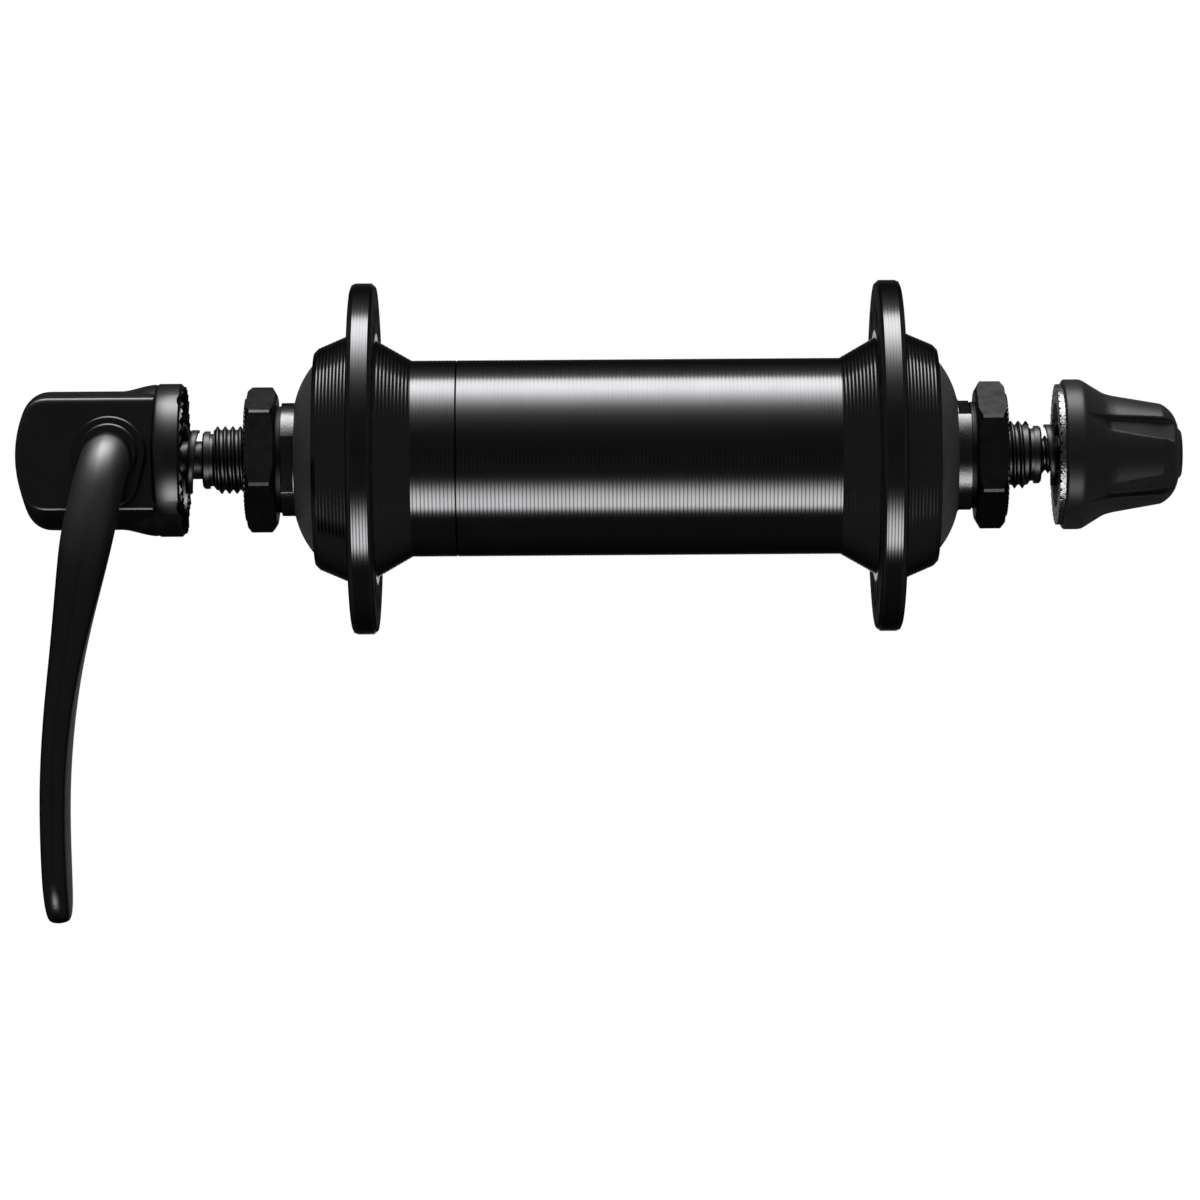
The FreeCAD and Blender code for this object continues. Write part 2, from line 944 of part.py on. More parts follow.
def two_arcs(start, way_out, end, way_in):
    """Two arcs that join smoothly, for a quarter of a turn."""
    chord = end - start
    ways = way_out + way_in
    a = 4 - ways.dot(ways)
    b = chord.dot(ways)
    reach = (math.sqrt(b * b + a * chord.dot(chord)) - b) / a
    first = start + way_out * reach
    last = end - way_in * reach
    joint = (first + last) * 0.5
    return [arc_between(start, first, joint), arc_between(joint, last, end)]


def coil_spring(name, start, end, big):
    """One unbroken wire from its wide end to its narrow end."""
    small = spring_small_diameter / 2
    steps = int(round(spring_turns * 4))
    edges = []
    point, way = coil_point(0, start, end, big, small, spring_turns)
    first_point, first_way = point, way
    for i in range(1, steps + 1):
        following, next_way = coil_point(i / steps, start, end, big, small, spring_turns)
        edges += two_arcs(point, way, following, next_way)
        point, way = following, next_way
    side = first_way.cross(along)
    side.normalize()
    rise = first_way.cross(side)
    corners = []
    for i in range(spring_wire_sides + 1):
        a = 2 * math.pi * i / spring_wire_sides
        corners.append(first_point + (side * math.cos(a) + rise * math.sin(a)) * (spring_wire / 2))
    print(name, "least gap", round(coil_gap(start, end, big, small), 2))
    return Part.Wire(edges).makePipeShell([Part.makePolygon(corners)], True, False)


def coil_gap(start, end, big, small):
    """The least gap between turns, on points along the wire's middle."""
    count = int(coil_checks * spring_turns)
    points = []
    for i in range(count + 1):
        points.append(coil_point(i / count, start, end, big, small, spring_turns)[0])
    apart = int(coil_checks * 2 / 3)
    gaps = [
        (points[i] - points[j]).Length
        for i in range(count + 1)
        for j in range(i + apart, count + 1)
    ]
    return min(gaps) - spring_wire


def spring_left():
    wire = spring_wire / 2
    start = clamp_face - spring_pocket_depth + wire + spring_floor_gap
    end = -(locknut_face + axle_overhang_lever) - spring_end_gap - wire
    return coil_spring("spring_left", start, end, spring_pocket_diameter / 2 - spring_seat_play - wire)


def spring_right():
    wire = spring_wire / 2
    start = insert_face + insert_pocket_depth - wire - spring_floor_gap
    end = locknut_face + axle_overhang_nut + spring_end_gap + wire
    return coil_spring("spring_right", start, end, insert_pocket_diameter / 2 - spring_seat_play - wire)


def save(name, shape):
    solids = shape.Solids
    if len(solids) == 1:
        shape = solids[0]
    print(name, len(solids), "solids", shape.isValid(), round(shape.Volume, 1))
    shape.exportStep("parts/" + name + ".step")


def save_pair(name, shape, turn_lever=0.0, turn_nut=0.0):
    save(name + "_right", turned(shape, turn_nut))
    save(name + "_left", turned(other_side(shape), turn_lever))


def main():
    os.makedirs("parts", exist_ok=True)
    save("hub_shell", hub_shell())
    save_pair("bearing_cup", bearing_cup())
    save_pair("ball_set", ball_set())
    save_pair("ball_retainer", ball_retainer())
    save("axle", axle())
    save_pair("cone", cone(), cone_turn_lever_deg, cone_turn_nut_deg)
    save_pair("dust_cover", dust_cover())
    save_pair("seal_ring", seal_ring())
    save_pair("lock_washer", lock_washer())
    save_pair("locknut", locknut(), locknut_turn_lever_deg)
    save("skewer_rod", turned(skewer_rod(), skewer_turn_deg))
    save("lever_housing", turned(lever_housing(), skewer_turn_deg))
    save("cam_lever", turned(cam_lever(), skewer_turn_deg))
    save("pivot_cap", turned(pivot_cap(), skewer_turn_deg))
    save("spring_left", spring_left())
    save("spring_right", spring_right())
    save("adjusting_nut", adjusting_nut())
    save("nut_insert", nut_insert())


main()
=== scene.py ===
import json
import math

import bpy
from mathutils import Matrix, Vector

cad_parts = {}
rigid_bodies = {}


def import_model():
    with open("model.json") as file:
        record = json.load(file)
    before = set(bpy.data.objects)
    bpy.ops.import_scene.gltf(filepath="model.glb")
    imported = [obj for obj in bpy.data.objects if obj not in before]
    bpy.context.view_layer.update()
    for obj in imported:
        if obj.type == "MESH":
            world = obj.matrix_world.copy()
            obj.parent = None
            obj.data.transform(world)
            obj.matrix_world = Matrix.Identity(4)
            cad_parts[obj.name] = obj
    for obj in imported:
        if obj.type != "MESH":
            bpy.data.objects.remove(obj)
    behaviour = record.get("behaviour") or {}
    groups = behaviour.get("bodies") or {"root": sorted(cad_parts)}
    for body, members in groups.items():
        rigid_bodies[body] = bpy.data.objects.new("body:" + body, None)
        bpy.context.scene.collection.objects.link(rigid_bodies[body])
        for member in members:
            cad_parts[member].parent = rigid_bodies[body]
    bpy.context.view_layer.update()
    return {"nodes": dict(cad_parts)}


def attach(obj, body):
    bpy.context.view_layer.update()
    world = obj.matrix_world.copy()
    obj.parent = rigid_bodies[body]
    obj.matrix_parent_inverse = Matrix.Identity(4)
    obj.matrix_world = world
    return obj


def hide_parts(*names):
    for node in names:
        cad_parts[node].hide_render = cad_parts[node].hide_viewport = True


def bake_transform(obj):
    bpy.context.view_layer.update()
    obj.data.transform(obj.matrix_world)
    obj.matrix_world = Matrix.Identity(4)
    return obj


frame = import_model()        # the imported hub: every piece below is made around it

mm = 0.001
nodes = frame["nodes"]


# ---- camera, room and light

photoView = {
    "lens": 168.7,
    "distance": 0.740,
    "right": -0.00355,
    "up": -0.01875,
    "rollDegrees": 0.39,
    "sensor": 36,
    "nearest": 0.01,
}


def placeCamera():
    bpy.ops.object.camera_add(
        location=(photoView["right"], -photoView["distance"], photoView["up"]),
        rotation=(math.radians(90), math.radians(photoView["rollDegrees"]), 0),
    )
    camera = bpy.context.object
    camera.data.lens = photoView["lens"]
    camera.data.sensor_width = photoView["sensor"]
    camera.data.clip_start = photoView["nearest"]
    bpy.context.scene.camera = camera


class Wire:
    # a socket that sums can be written on
    def __init__(self, tree, socket=None):
        self.tree = tree
        self.socket = socket

    def node(self, kind, settings=None, sockets=None, out=0):
        made = self.tree.nodes.new("ShaderNode" + kind)
        for key, value in (settings or {}).items():
            if key == "stops":
                setStops(made.color_ramp, value)
            else:
                setattr(made, key, value)
        for key, value in (sockets or {}).items():
            if isinstance(value, Wire):
                self.tree.links.new(value.socket, made.inputs[key])
            else:
                made.inputs[key].default_value = value
        return Wire(self.tree, made.outputs[out])

    def maths(self, operation, *others):
        values = {0: self}
        for i, other in enumerate(others):
            values[i + 1] = other
        return self.node("Math", {"operation": operation}, values)

    def __add__(self, other):
        return self.maths("ADD", other)

    def __mul__(self, other):
        return self.maths("MULTIPLY", other)

    def __sub__(self, other):
        return self.maths("SUBTRACT", other)

    def __rsub__(self, other):
        return self.node("Math", {"operation": "SUBTRACT"}, {0: other, 1: self})

    def __truediv__(self, other):
        return self.maths("DIVIDE", other)

    __radd__ = __add__
    __rmul__ = __mul__

    def between(self, low, high, start=0.0, end=1.0):
        return self.node("MapRange", {"interpolation_type": "SMOOTHSTEP"},
                         {0: self, 1: low, 2: high, 3: start, 4: end})

    def axes(self):
        parts = self.node("SeparateXYZ", sockets={0: self}).socket.node
        return [Wire(self.tree, parts.outputs[i]) for i in range(3)]

    def into(self, socket):
        self.tree.links.new(self.socket, socket)


def setStops(ramp, stops):
    while len(ramp.elements) > 1:
        ramp.elements.remove(ramp.elements[-1])
    ramp.elements[0].position = stops[0][0]
    ramp.elements[0].color = (*[stops[0][1]] * 3, 1)
    for place, shade in stops[1:]:
        ramp.elements.new(place).color = (*[shade] * 3, 1)


room = {
    "floorHeight": -0.35,
    "floorSize": 3.0,
    "floorShade": 0.8,
    "floorRough": 0.9,
    "brightest": 8.0,            # the ramp holds shares of this level
    # light by the angle round the axle: 0 is the camera's side, 90 overhead, 180 behind
    "light": [
        (0, 0.03), (28, 0.05), (40, 0.12), (50, 0.28), (60, 0.8), (68, 2.1), (77, 4.3), (85, 6.7),
        (92, 7.6), (100, 7.6), (104, 6.0), (107, 1.0), (112, 0.3), (125, 0.14), (144, 0.09), (166, 0.09),
        (202, 0.05), (230, 0.03), (288, 0.03), (292.5, 0.4), (296, 3.4),
        (299, 5.4), (311, 4.8), (318, 3.4), (324, 1.5), (330, 0.26), (337, 0.05), (346, 0.04),
    ],
    # how far the upper and the lower light reach along the axle
    "upperStart": 0.18, "upperEnd": 0.5,
    "lowerStart": 0.13, "lowerEnd": 0.42,
    "sideLevel": 0.07,
    "backdrop": 0.989,           # cosine of the cone behind that is white
}


def buildRoom():
    bpy.ops.mesh.primitive_plane_add(size=room["floorSize"], location=(0, 0, room["floorHeight"]))
    floor = bpy.context.object
    floor.name = "floor"
    floor.visible_glossy = False
    paint = bpy.data.materials.new("floorPaint")
    paint.use_nodes = True
    shader = paint.node_tree.nodes["Principled BSDF"]
    shader.inputs["Base Color"].default_value = (*[room["floorShade"]] * 3, 1)
    shader.inputs["Roughness"].default_value = room["floorRough"]
    floor.data.materials.append(paint)

    world = bpy.data.worlds.new("room")
    bpy.context.scene.world = world
    world.use_nodes = True
    start = Wire(world.node_tree)
    way = start.node("TexCoord", out="Generated")
    x, y, z = way.axes()
    turn = z.maths("ARCTAN2", y * -1.0) / math.tau
    turn = (turn + 1.0).maths("FRACT")
    stops = [(angle / 360, level / room["brightest"]) for angle, level in room["light"]]
    band = start.node("ValToRGB", {"stops": stops}, {0: turn}) * room["brightest"]
    side = x.maths("ABSOLUTE")
    upper = z.maths("GREATER_THAN", 0.0)
    fade = side.between(room["upperStart"], room["upperEnd"], 1.0, 0.0) * upper
    fade = fade + side.between(room["lowerStart"], room["lowerEnd"], 1.0, 0.0) * (1.0 - upper)
    light = band * fade + (1.0 - fade) * room["sideLevel"]
    # the camera sees a white backdrop, and so do metal and glass in the way behind
    path = start.node("LightPath").socket.node
    rays = [Wire(start.tree, path.outputs[name])
            for name in ("Is Camera Ray", "Is Glossy Ray", "Is Transmission Ray")]
    behind = y.maths("GREATER_THAN", room["backdrop"])
    seen = rays[0].maths("MAXIMUM", (rays[1] + rays[2]) * behind)
    strength = start.node("Mix", sockets={0: seen, 2: light, 3: 1.0})
    back = world.node_tree.nodes["Background"]
    back.inputs["Color"].default_value = (1, 1, 1, 1)
    strength.into(back.inputs["Strength"])


placeCamera()
buildRoom()
bpy.context.scene.view_settings.view_transform = "Standard"
print("camera, floor and light are set")


# ---- finishes

def newPaint(name, finish):
    paint = bpy.data.materials.new(name)
    paint.use_nodes = True
    tree = paint.node_tree
    shader = tree.nodes["Principled BSDF"]
    shader.inputs["Base Color"].default_value = (*finish["colour"], 1)
    shader.inputs["Metallic"].default_value = finish.get("metallic", 0.0)
    shader.inputs["Specular IOR Level"].default_value = finish.get("shine", 0.5)
    shader.inputs["Roughness"].default_value = finish["rough"]
    shader.inputs["Specular Tint"].default_value = (*[finish.get("edgeTint", 1.0)] * 3, 1)
    place = Wire(tree).node("TexCoord", out="Object")
    return paint, shader, place


def tone(colour, times=1.0):
    return (*[c * times for c in colour], 1)


def mixed(share, low, high):
    return share.node("Mix", {"data_type": "RGBA"}, {0: share, 6: low, 7: high}, out=2)


def shadeOf(finish, amount):
    # the finish's colour, a little darker and lighter where amount goes from 0 to 1
    spread = finish["mottle"]
    return mixed(amount, tone(finish["colour"], 1 - spread), tone(finish["colour"], 1 + spread))


def turnedMarks(place, pitch, run):
    # streaks that run round the axle, as a lathe tool leaves them
    x, y, z = place.axes()
    radius = (y * y + z * z).maths("SQRT")
    angle = z.maths("ARCTAN2", y)
    spot = place.node("CombineXYZ", sockets={
        0: x / (pitch * mm), 1: radius / (pitch * mm), 2: angle * run})
    return place.node("TexNoise", sockets={"Vector": spot, "Scale": 1.0, "Detail": 3.0})


def grain(place, size):
    return place.node("TexNoise", sockets={"Vector": place, "Scale": 1 / (size * mm), "Detail": 2.0})


def wired(shader, finish, colour, rough, height):
    colour.into(shader.inputs["Base Color"])
    rough.into(shader.inputs["Roughness"])
    bump = height.node("Bump", sockets={
        "Strength": 1.0, "Distance": finish["depth"] * mm, "Height": height})
    bump.into(shader.inputs["Normal"])


def turnedFinish(name, finish):
    # anodised or plain metal off a lathe
    paint, shader, place = newPaint(name, finish)
    marks = turnedMarks(place, finish["pitch"], finish["run"])
    cloud = grain(place, finish["cloud"])
    spread = finish["roughSpread"]
    rough = finish["rough"] + (marks - 0.5) * spread + (cloud - 0.5) * spread
    wired(shader, finish, shadeOf(finish, cloud), rough, marks)
    return paint


def shellFinish(name, finish):
    # turned finish, with the flanges' flat faces rougher and darkened by painted shade
    paint, shader, place = newPaint(name, finish)
    marks = turnedMarks(place, finish["pitch"], finish["run"])
    cloud = grain(place, finish["cloud"])
    x, y, z = place.axes()
    away = (x.maths("ABSOLUTE") - finish["flangeAt"] * mm).maths("ABSOLUTE")
    dullAndShaded = away.between(finish["dullFrom"] * mm, finish["dullFull"] * mm)
    inner, outer = finish["dullRadii"]
    dullAndShaded = dullAndShaded * (y * y + z * z).maths("SQRT").between(inner * mm, outer * mm)
    # painted shade: the flanges' flat faces take a darker colour
    colour = mixed(dullAndShaded, shadeOf(finish, cloud), tone([finish["dullShade"]] * 3))
    rough = finish["rough"] + (marks - 0.5) * finish["roughSpread"] + dullAndShaded * finish["dullRough"]
    wired(shader, finish, colour, rough, marks)
    return paint


def castFinish(name, finish):
    # paint or black oxide with a fine grain
    paint, shader, place = newPaint(name, finish)
    fine = grain(place, finish["grain"])
    cloud = grain(place, finish["cloud"])
    rough = finish["rough"] + (cloud - 0.5) * finish["roughSpread"]
    wired(shader, finish, shadeOf(finish, cloud), rough, fine)
    return paint


def leverFinish(name, finish):
    # satin paint, lightened round the knuckle by a painted highlight, and darker on the foot
    paint, shader, place = newPaint(name, finish)
    fine = grain(place, finish["grain"])
    cloud = grain(place, finish["cloud"])
    x, y, z = place.axes()
    low, high = finish["knuckleHeights"]
    front, back = finish["knuckleDepths"]
    bend = z.between(low * mm, high * mm) * y.between(front * mm, back * mm, 1.0, 0.0)
    # painted highlight: the knuckle takes a lighter colour
    colour = mixed(bend, shadeOf(finish, cloud), tone(finish["colour"], finish["knuckle"]))
    front, back = finish["footDepths"]
    colour = mixed(y.between(front * mm, back * mm), colour, tone(finish["colour"], finish["foot"]))
    rough = finish["rough"] + (cloud - 0.5) * finish["roughSpread"] + bend * finish["knuckleRough"]
    wired(shader, finish, colour, rough, fine)
    return paint


finishes = {
    # the shell's flange faces are darkened by painted shade
    "shellBlack": dict(make=shellFinish, colour=(0.115, 0.115, 0.118), metallic=1.0, rough=0.17,
                       edgeTint=0.3, pitch=0.12, run=0.6, cloud=6.0, roughSpread=0.06, depth=0.004,
                       mottle=0.08, flangeAt=34.4, dullFrom=1.4, dullFull=1.55, dullRadii=(16.3, 16.9),
                       dullRough=0.4, dullShade=0.06),
    "coverBlack": dict(make=turnedFinish, colour=(0.06, 0.06, 0.061), shine=0.6, rough=0.46,
                       pitch=0.2, run=0.8, cloud=3.0, roughSpread=0.1, depth=0.006, mottle=0.25),
    "coneBlack": dict(make=castFinish, colour=(0.125, 0.125, 0.127), metallic=1.0, rough=0.24,
                      edgeTint=0.3, grain=0.3, cloud=1.2, roughSpread=0.1, depth=0.02, mottle=0.3),
    "locknutBlack": dict(make=castFinish, colour=(0.064, 0.064, 0.066), metallic=1.0, rough=0.42,
                         edgeTint=0.3, grain=0.2, cloud=1.5, roughSpread=0.12, depth=0.013, mottle=0.35),
    "housingBlack": dict(make=castFinish, colour=(0.11, 0.11, 0.112), metallic=1.0, rough=0.33,
                         edgeTint=0.3, grain=0.14, cloud=4.0, roughSpread=0.06, depth=0.005, mottle=0.12),
    # the lever's knuckle is lightened by a painted highlight
    "leverBlack": dict(make=leverFinish, colour=(0.09, 0.09, 0.092), metallic=1.0, rough=0.36,
                       edgeTint=0.25, knuckle=2.4, knuckleRough=0.12, knuckleHeights=(-17, -5),
                       knuckleDepths=(-11.2, -9.8), foot=0.9, footDepths=(-9.1, -8.7),
                       grain=0.13, cloud=4.0, roughSpread=0.06, depth=0.005, mottle=0.12),
    "capBlack": dict(make=castFinish, colour=(0.11, 0.11, 0.112), metallic=1.0, rough=0.34,
                     edgeTint=0.3, grain=0.14, cloud=2.0, roughSpread=0.08, depth=0.006, mottle=0.12),
    "nutBlack": dict(make=castFinish, colour=(0.015, 0.015, 0.016), shine=0.5, rough=0.38,
                     grain=0.14, cloud=3.0, roughSpread=0.08, depth=0.008, mottle=0.2),
    "sealRubber": dict(make=castFinish, colour=(0.012, 0.012, 0.012), shine=0.3, rough=0.7,
                       grain=0.2, cloud=2.0, roughSpread=0.1, depth=0.01, mottle=0.2),
    "axleSteel": dict(make=turnedFinish, colour=(0.09, 0.09, 0.092), metallic=1.0, rough=0.42,
                      pitch=0.15, run=0.8, cloud=1.5, roughSpread=0.12, depth=0.006, mottle=0.25),
    "rodSteel": dict(make=turnedFinish, colour=(0.1, 0.1, 0.102), metallic=1.0, rough=0.42,
                     pitch=0.15, run=0.8, cloud=1.5, roughSpread=0.1, depth=0.006, mottle=0.2),
    "springSteel": dict(make=castFinish, colour=(0.09, 0.09, 0.092), metallic=1.0, rough=0.42,
                        grain=0.12, cloud=1.0, roughSpread=0.12, depth=0.006, mottle=0.2),
    "insertSteel": dict(make=castFinish, colour=(0.34, 0.34, 0.336), metallic=1.0, rough=0.26,
                        edgeTint=0.4, grain=0.28, cloud=0.7, roughSpread=0.16, depth=0.07, mottle=0.6),
    "washerSteel": dict(make=turnedFinish, colour=(0.05, 0.05, 0.051), metallic=1.0, rough=0.5,
                        edgeTint=0.3, pitch=0.15, run=0.8, cloud=1.2, roughSpread=0.1, depth=0.006,
                        mottle=0.2),
    "raceSteel": dict(make=turnedFinish, colour=(0.5, 0.5, 0.5), metallic=1.0, rough=0.2,
                      pitch=0.1, run=0.6, cloud=2.0, roughSpread=0.06, depth=0.003, mottle=0.1),
    "ballSteel": dict(make=castFinish, colour=(0.6, 0.6, 0.6), metallic=1.0, rough=0.12,
                      grain=0.3, cloud=1.0, roughSpread=0.04, depth=0.002, mottle=0.05),
    "cageSteel": dict(make=castFinish, colour=(0.45, 0.43, 0.4), metallic=1.0, rough=0.35,
                      grain=0.2, cloud=1.0, roughSpread=0.1, depth=0.005, mottle=0.15),
}
paints = {}
for name, finish in finishes.items():
    paints[name] = finish["make"](name, finish)
print("finishes mixed:", len(paints))


# ---- tools for the pieces

def deselectAll():
    if bpy.context.object and bpy.context.object.mode != "OBJECT":
        bpy.ops.object.mode_set(mode="OBJECT")
    bpy.ops.object.select_all(action="DESELECT")


def takeUp(piece):
    deselectAll()
    piece.select_set(True)
    bpy.context.view_layer.objects.active = piece


def nameNew(name):
    piece = bpy.context.object
    piece.name = name
    piece.data.name = name
    bpy.ops.object.transform_apply(location=True, rotation=True, scale=True)
    return piece


def closeUp(piece, reach=0.002):
    # merge what lies together and turn all faces outward
    takeUp(piece)
    bpy.ops.object.mode_set(mode="EDIT")
    bpy.ops.mesh.select_all(action="SELECT")
    bpy.ops.mesh.remove_doubles(threshold=reach * mm)
    bpy.ops.mesh.normals_make_consistent(inside=False)
    bpy.ops.object.mode_set(mode="OBJECT")


def turnOutline(name, outline, steps):
    # a closed outline of (place, radius) in millimetres, spun about the axle
    deselectAll()
    x, r = outline[0]
    bpy.ops.mesh.primitive_plane_add(size=0.1 * mm, location=(x * mm, 0, r * mm))
    piece = nameNew(name)
    bpy.ops.object.mode_set(mode="EDIT")
    bpy.ops.mesh.select_mode(type="VERT")
    bpy.ops.mesh.select_all(action="SELECT")
    bpy.ops.mesh.merge(type="CENTER")
    for (x0, r0), (x1, r1) in zip(outline, outline[1:] + outline[:1]):
        bpy.ops.mesh.extrude_region_move(
            TRANSFORM_OT_translate={"value": ((x1 - x0) * mm, 0, (r1 - r0) * mm)})
    bpy.ops.mesh.select_all(action="SELECT")
    bpy.ops.mesh.remove_doubles(threshold=0.002 * mm)
    bpy.ops.mesh.spin(steps=steps, angle=math.tau, center=(0, 0, 0), axis=(1, 0, 0))
    closeUp(piece)
    return piece


def flipped(outline):
    return [(-x, r) for x, r in reversed(outline)]


def bowed(start, end, bow, steps):
    # from start to end in short steps that stand out by the bow
    (x0, r0), (x1, r1) = start, end
    out = Vector((r0 - r1, x1 - x0)).normalized()
    if out.y < 0:
        out = -out
    points = []
    for i in range(steps + 1):
        t = i / steps
        rise = 4 * bow * t * (1 - t)
        points.append((x0 + (x1 - x0) * t + out.x * rise, r0 + (r1 - r0) * t + out.y * rise))
    return points


def ridged(start, end, pitch, depth, lowAt):
    # V grooves along a line, with the line's two ends left as they are
    (x0, r0), (x1, r1) = start, end
    run = Vector((x1 - x0, r1 - r0))
    count = max(1, round(run.length / pitch))
    into = Vector((run.y, -run.x)).normalized()
    if into.y > 0:
        into = -into
    points = [start]
    for i in range(count):
        low = Vector(start) + run * ((i + lowAt) / count) + into * depth
        points += [(low.x, low.y), (x0 + run.x * (i + 1) / count, r0 + run.y * (i + 1) / count)]
    return points


def grooved(start, end, pitch, depth, land=0.5):
    # narrow V grooves along a line, with flat lands between them
    (x0, r0), (x1, r1) = start, end
    run = Vector((x1 - x0, r1 - r0))
    count = max(1, round(run.length / pitch))
    points = [start]
    for i in range(count):
        for share, low in ((land / 2, 0), (0.5, depth), (1 - land / 2, 0)):
            spot = Vector(start) + run * ((i + share) / count)
            points.append((spot.x, spot.y - low))
    return points + [end]


def applied(piece, kind, **settings):
    takeUp(piece)
    bpy.ops.object.modifier_add(type=kind)
    modifier = piece.modifiers[-1]
    for key, value in settings.items():
        setattr(modifier, key, value)
    bpy.ops.object.modifier_apply(modifier=modifier.name)


def softened(piece, width, angle, segments=2):
    applied(piece, "BEVEL", width=width * mm, segments=segments, limit_method="ANGLE",
            angle_limit=math.radians(angle), use_clamp_overlap=True)


def smoothed(piece, angle):
    takeUp(piece)
    bpy.ops.object.shade_smooth_by_angle(angle=math.radians(angle))


def evened(piece):
    # the large faces rule the shading at their edges
    applied(piece, "WEIGHTED_NORMAL", mode="FACE_AREA", weight=50, keep_sharp=True)


def copyOf(piece):
    takeUp(piece)
    bpy.ops.object.duplicate(linked=False)
    return bpy.context.object


def turned(piece, degrees):
    # round the axle
    takeUp(piece)
    piece.rotation_euler.x = math.radians(degrees)
    bpy.ops.object.transform_apply(rotation=True)


def mirrored(piece, name):
    # the same piece on the other side of the hub
    copy = copyOf(piece)
    copy.name = name
    copy.data.name = name
    copy.scale.x = -1
    bpy.ops.object.transform_apply(scale=True)
    closeUp(copy, reach=0.0005)
    return copy


def joined(pieces, name):
    deselectAll()
    for piece in pieces:
        piece.select_set(True)
    bpy.context.view_layer.objects.active = pieces[0]
    bpy.ops.object.join()
    pieces[0].name = name
    pieces[0].data.name = name
    return pieces[0]


def block(name, x0, x1, wide, high, y=0):
    deselectAll()
    bpy.ops.mesh.primitive_cube_add(size=1, location=((x0 + x1) / 2 * mm, y * mm, 0))
    bpy.context.object.scale = ((x1 - x0) * mm, wide * mm, high * mm)
    return nameNew(name)


def crossBar(name, x, z, start, end, radius, vertices=64):
    # a round bar along the pivot's axis
    deselectAll()
    bpy.ops.mesh.primitive_cylinder_add(
        vertices=vertices, radius=radius * mm, depth=(end - start) * mm,
        location=(x * mm, (start + end) / 2 * mm, z * mm), rotation=(math.radians(90), 0, 0))
    return nameNew(name)


def cutBy(piece, cutter, how="DIFFERENCE"):
    applied(piece, "BOOLEAN", operation=how, object=cutter, solver="EXACT", use_self=False)
    bpy.data.objects.remove(cutter)


def remeshed(piece, voxel, rounds):
    # one even skin, smoothed by so many rounds
    takeUp(piece)
    piece.data.remesh_voxel_size = voxel * mm
    bpy.ops.object.voxel_remesh()
    applied(piece, "SMOOTH", factor=0.5, iterations=rounds)


def copyNode(node, name):
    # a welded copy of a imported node, to be refined
    piece = copyOf(nodes[node])
    bpy.ops.object.parent_clear(type="CLEAR_KEEP_TRANSFORM")
    piece.name = name
    piece.data.name = name
    for key in list(piece.keys()):
        del piece[key]
    closeUp(piece, reach=0.001)
    return piece


def throughRings(name, rings):
    # a circle extruded from ring to ring, and closed at both ends
    deselectAll()
    bpy.ops.mesh.primitive_circle_add(vertices=len(rings[0]), radius=mm, fill_type="NGON")
    piece = nameNew(name)
    mesh = piece.data
    order = list(range(len(rings[0])))
    for index, place in zip(order, rings[0]):
        mesh.vertices[index].co = Vector(place) * mm
    for ring in rings[1:]:
        bpy.ops.object.mode_set(mode="EDIT")
        bpy.ops.mesh.select_mode(type="FACE")
        bpy.ops.object.mode_set(mode="OBJECT")
        last = set(order)
        for face in mesh.polygons:
            face.select = len(face.vertices) == len(order) and set(face.vertices) == last
        bpy.ops.object.mode_set(mode="EDIT")
        bpy.ops.mesh.extrude_region_move(TRANSFORM_OT_translate={"value": (0, 0, 0)})
        bpy.ops.object.mode_set(mode="OBJECT")
        fresh = [v.index for v in mesh.vertices if v.select]
        order = [min(fresh, key=lambda i: (mesh.vertices[i].co - mesh.vertices[old].co).length)
                 for old in order]
        for index, place in zip(order, ring):
            mesh.vertices[index].co = Vector(place) * mm
    closeUp(piece)
    return piece


def finished(piece, body, paint, slot, *replaced):
    piece.data.materials.clear()
    piece.data.materials.append(paints[paint])
    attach(piece, body)
    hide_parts(*replaced)


# ---- hub shell

shell = {
    "barrel": 12.9, "barrelEnd": 28.05, "barrelPitch": 0.508, "barrelDepth": 0.024,
    "lineAt": -22.4, "lineDepth": 0.12,
    "flangeIn": 32.75, "flangeOut": 36.05,
    "coneTop": 15.6, "conePitch": 0.54, "coneDepth": 0.036, "coneLow": 0.3,
    "rim": 23.1, "rimPitch": 0.46, "rimDepth": 0.021, "rimRound": 0.7, "rimEdge": 0.5,
    "cornerShare": 0.293,        # how far a round's middle stands in from its corner
    "root": 16.4, "endPitch": 0.5, "endDepth": 0.03, "endLow": 0.7,
    "end": 40.85, "endChamfer": 0.6, "endWall": 1.15, "mouth": 12.85, "mouthFloor": 38.95,
    "seat": 12.0, "seatBack": 33.5, "tunnel": 10.5,
    "holeCircle": 19.0, "holes": 18, "firstLeft": 12, "firstRight": 22,
    "drill": [(-2.6, 0), (-2.6, 2.35), (-1.55, 1.3), (1.55, 1.3), (2.6, 2.35), (2.6, 0)],
    "steps": 112, "drillSteps": 24, "smooth": 12,
}


def shellHalf(s):
    corner = s["rimRound"] * s["cornerShare"]
    points = ridged((s["barrelEnd"], s["barrel"]), (s["flangeIn"], s["coneTop"]),
                    s["conePitch"], s["coneDepth"], s["coneLow"])
    points += [(s["flangeIn"], s["rim"] - s["rimEdge"])]
    points += grooved((s["flangeIn"] + s["rimEdge"], s["rim"]),
                      (s["flangeOut"] - s["rimRound"], s["rim"]), s["rimPitch"], s["rimDepth"])
    points += [(s["flangeOut"] - corner, s["rim"] - corner), (s["flangeOut"], s["rim"] - s["rimRound"])]
    points += ridged((s["flangeOut"], s["root"]),
                     (s["end"] - s["endChamfer"], s["mouth"] + s["endWall"] + s["endChamfer"]),
                     s["endPitch"], s["endDepth"], s["endLow"])
    points += [(s["end"], s["mouth"] + s["endWall"]), (s["end"], s["mouth"]),
               (s["mouthFloor"], s["mouth"]), (s["mouthFloor"], s["seat"]),
               (s["seatBack"], s["seat"]), (s["seatBack"], s["tunnel"])]
    return points


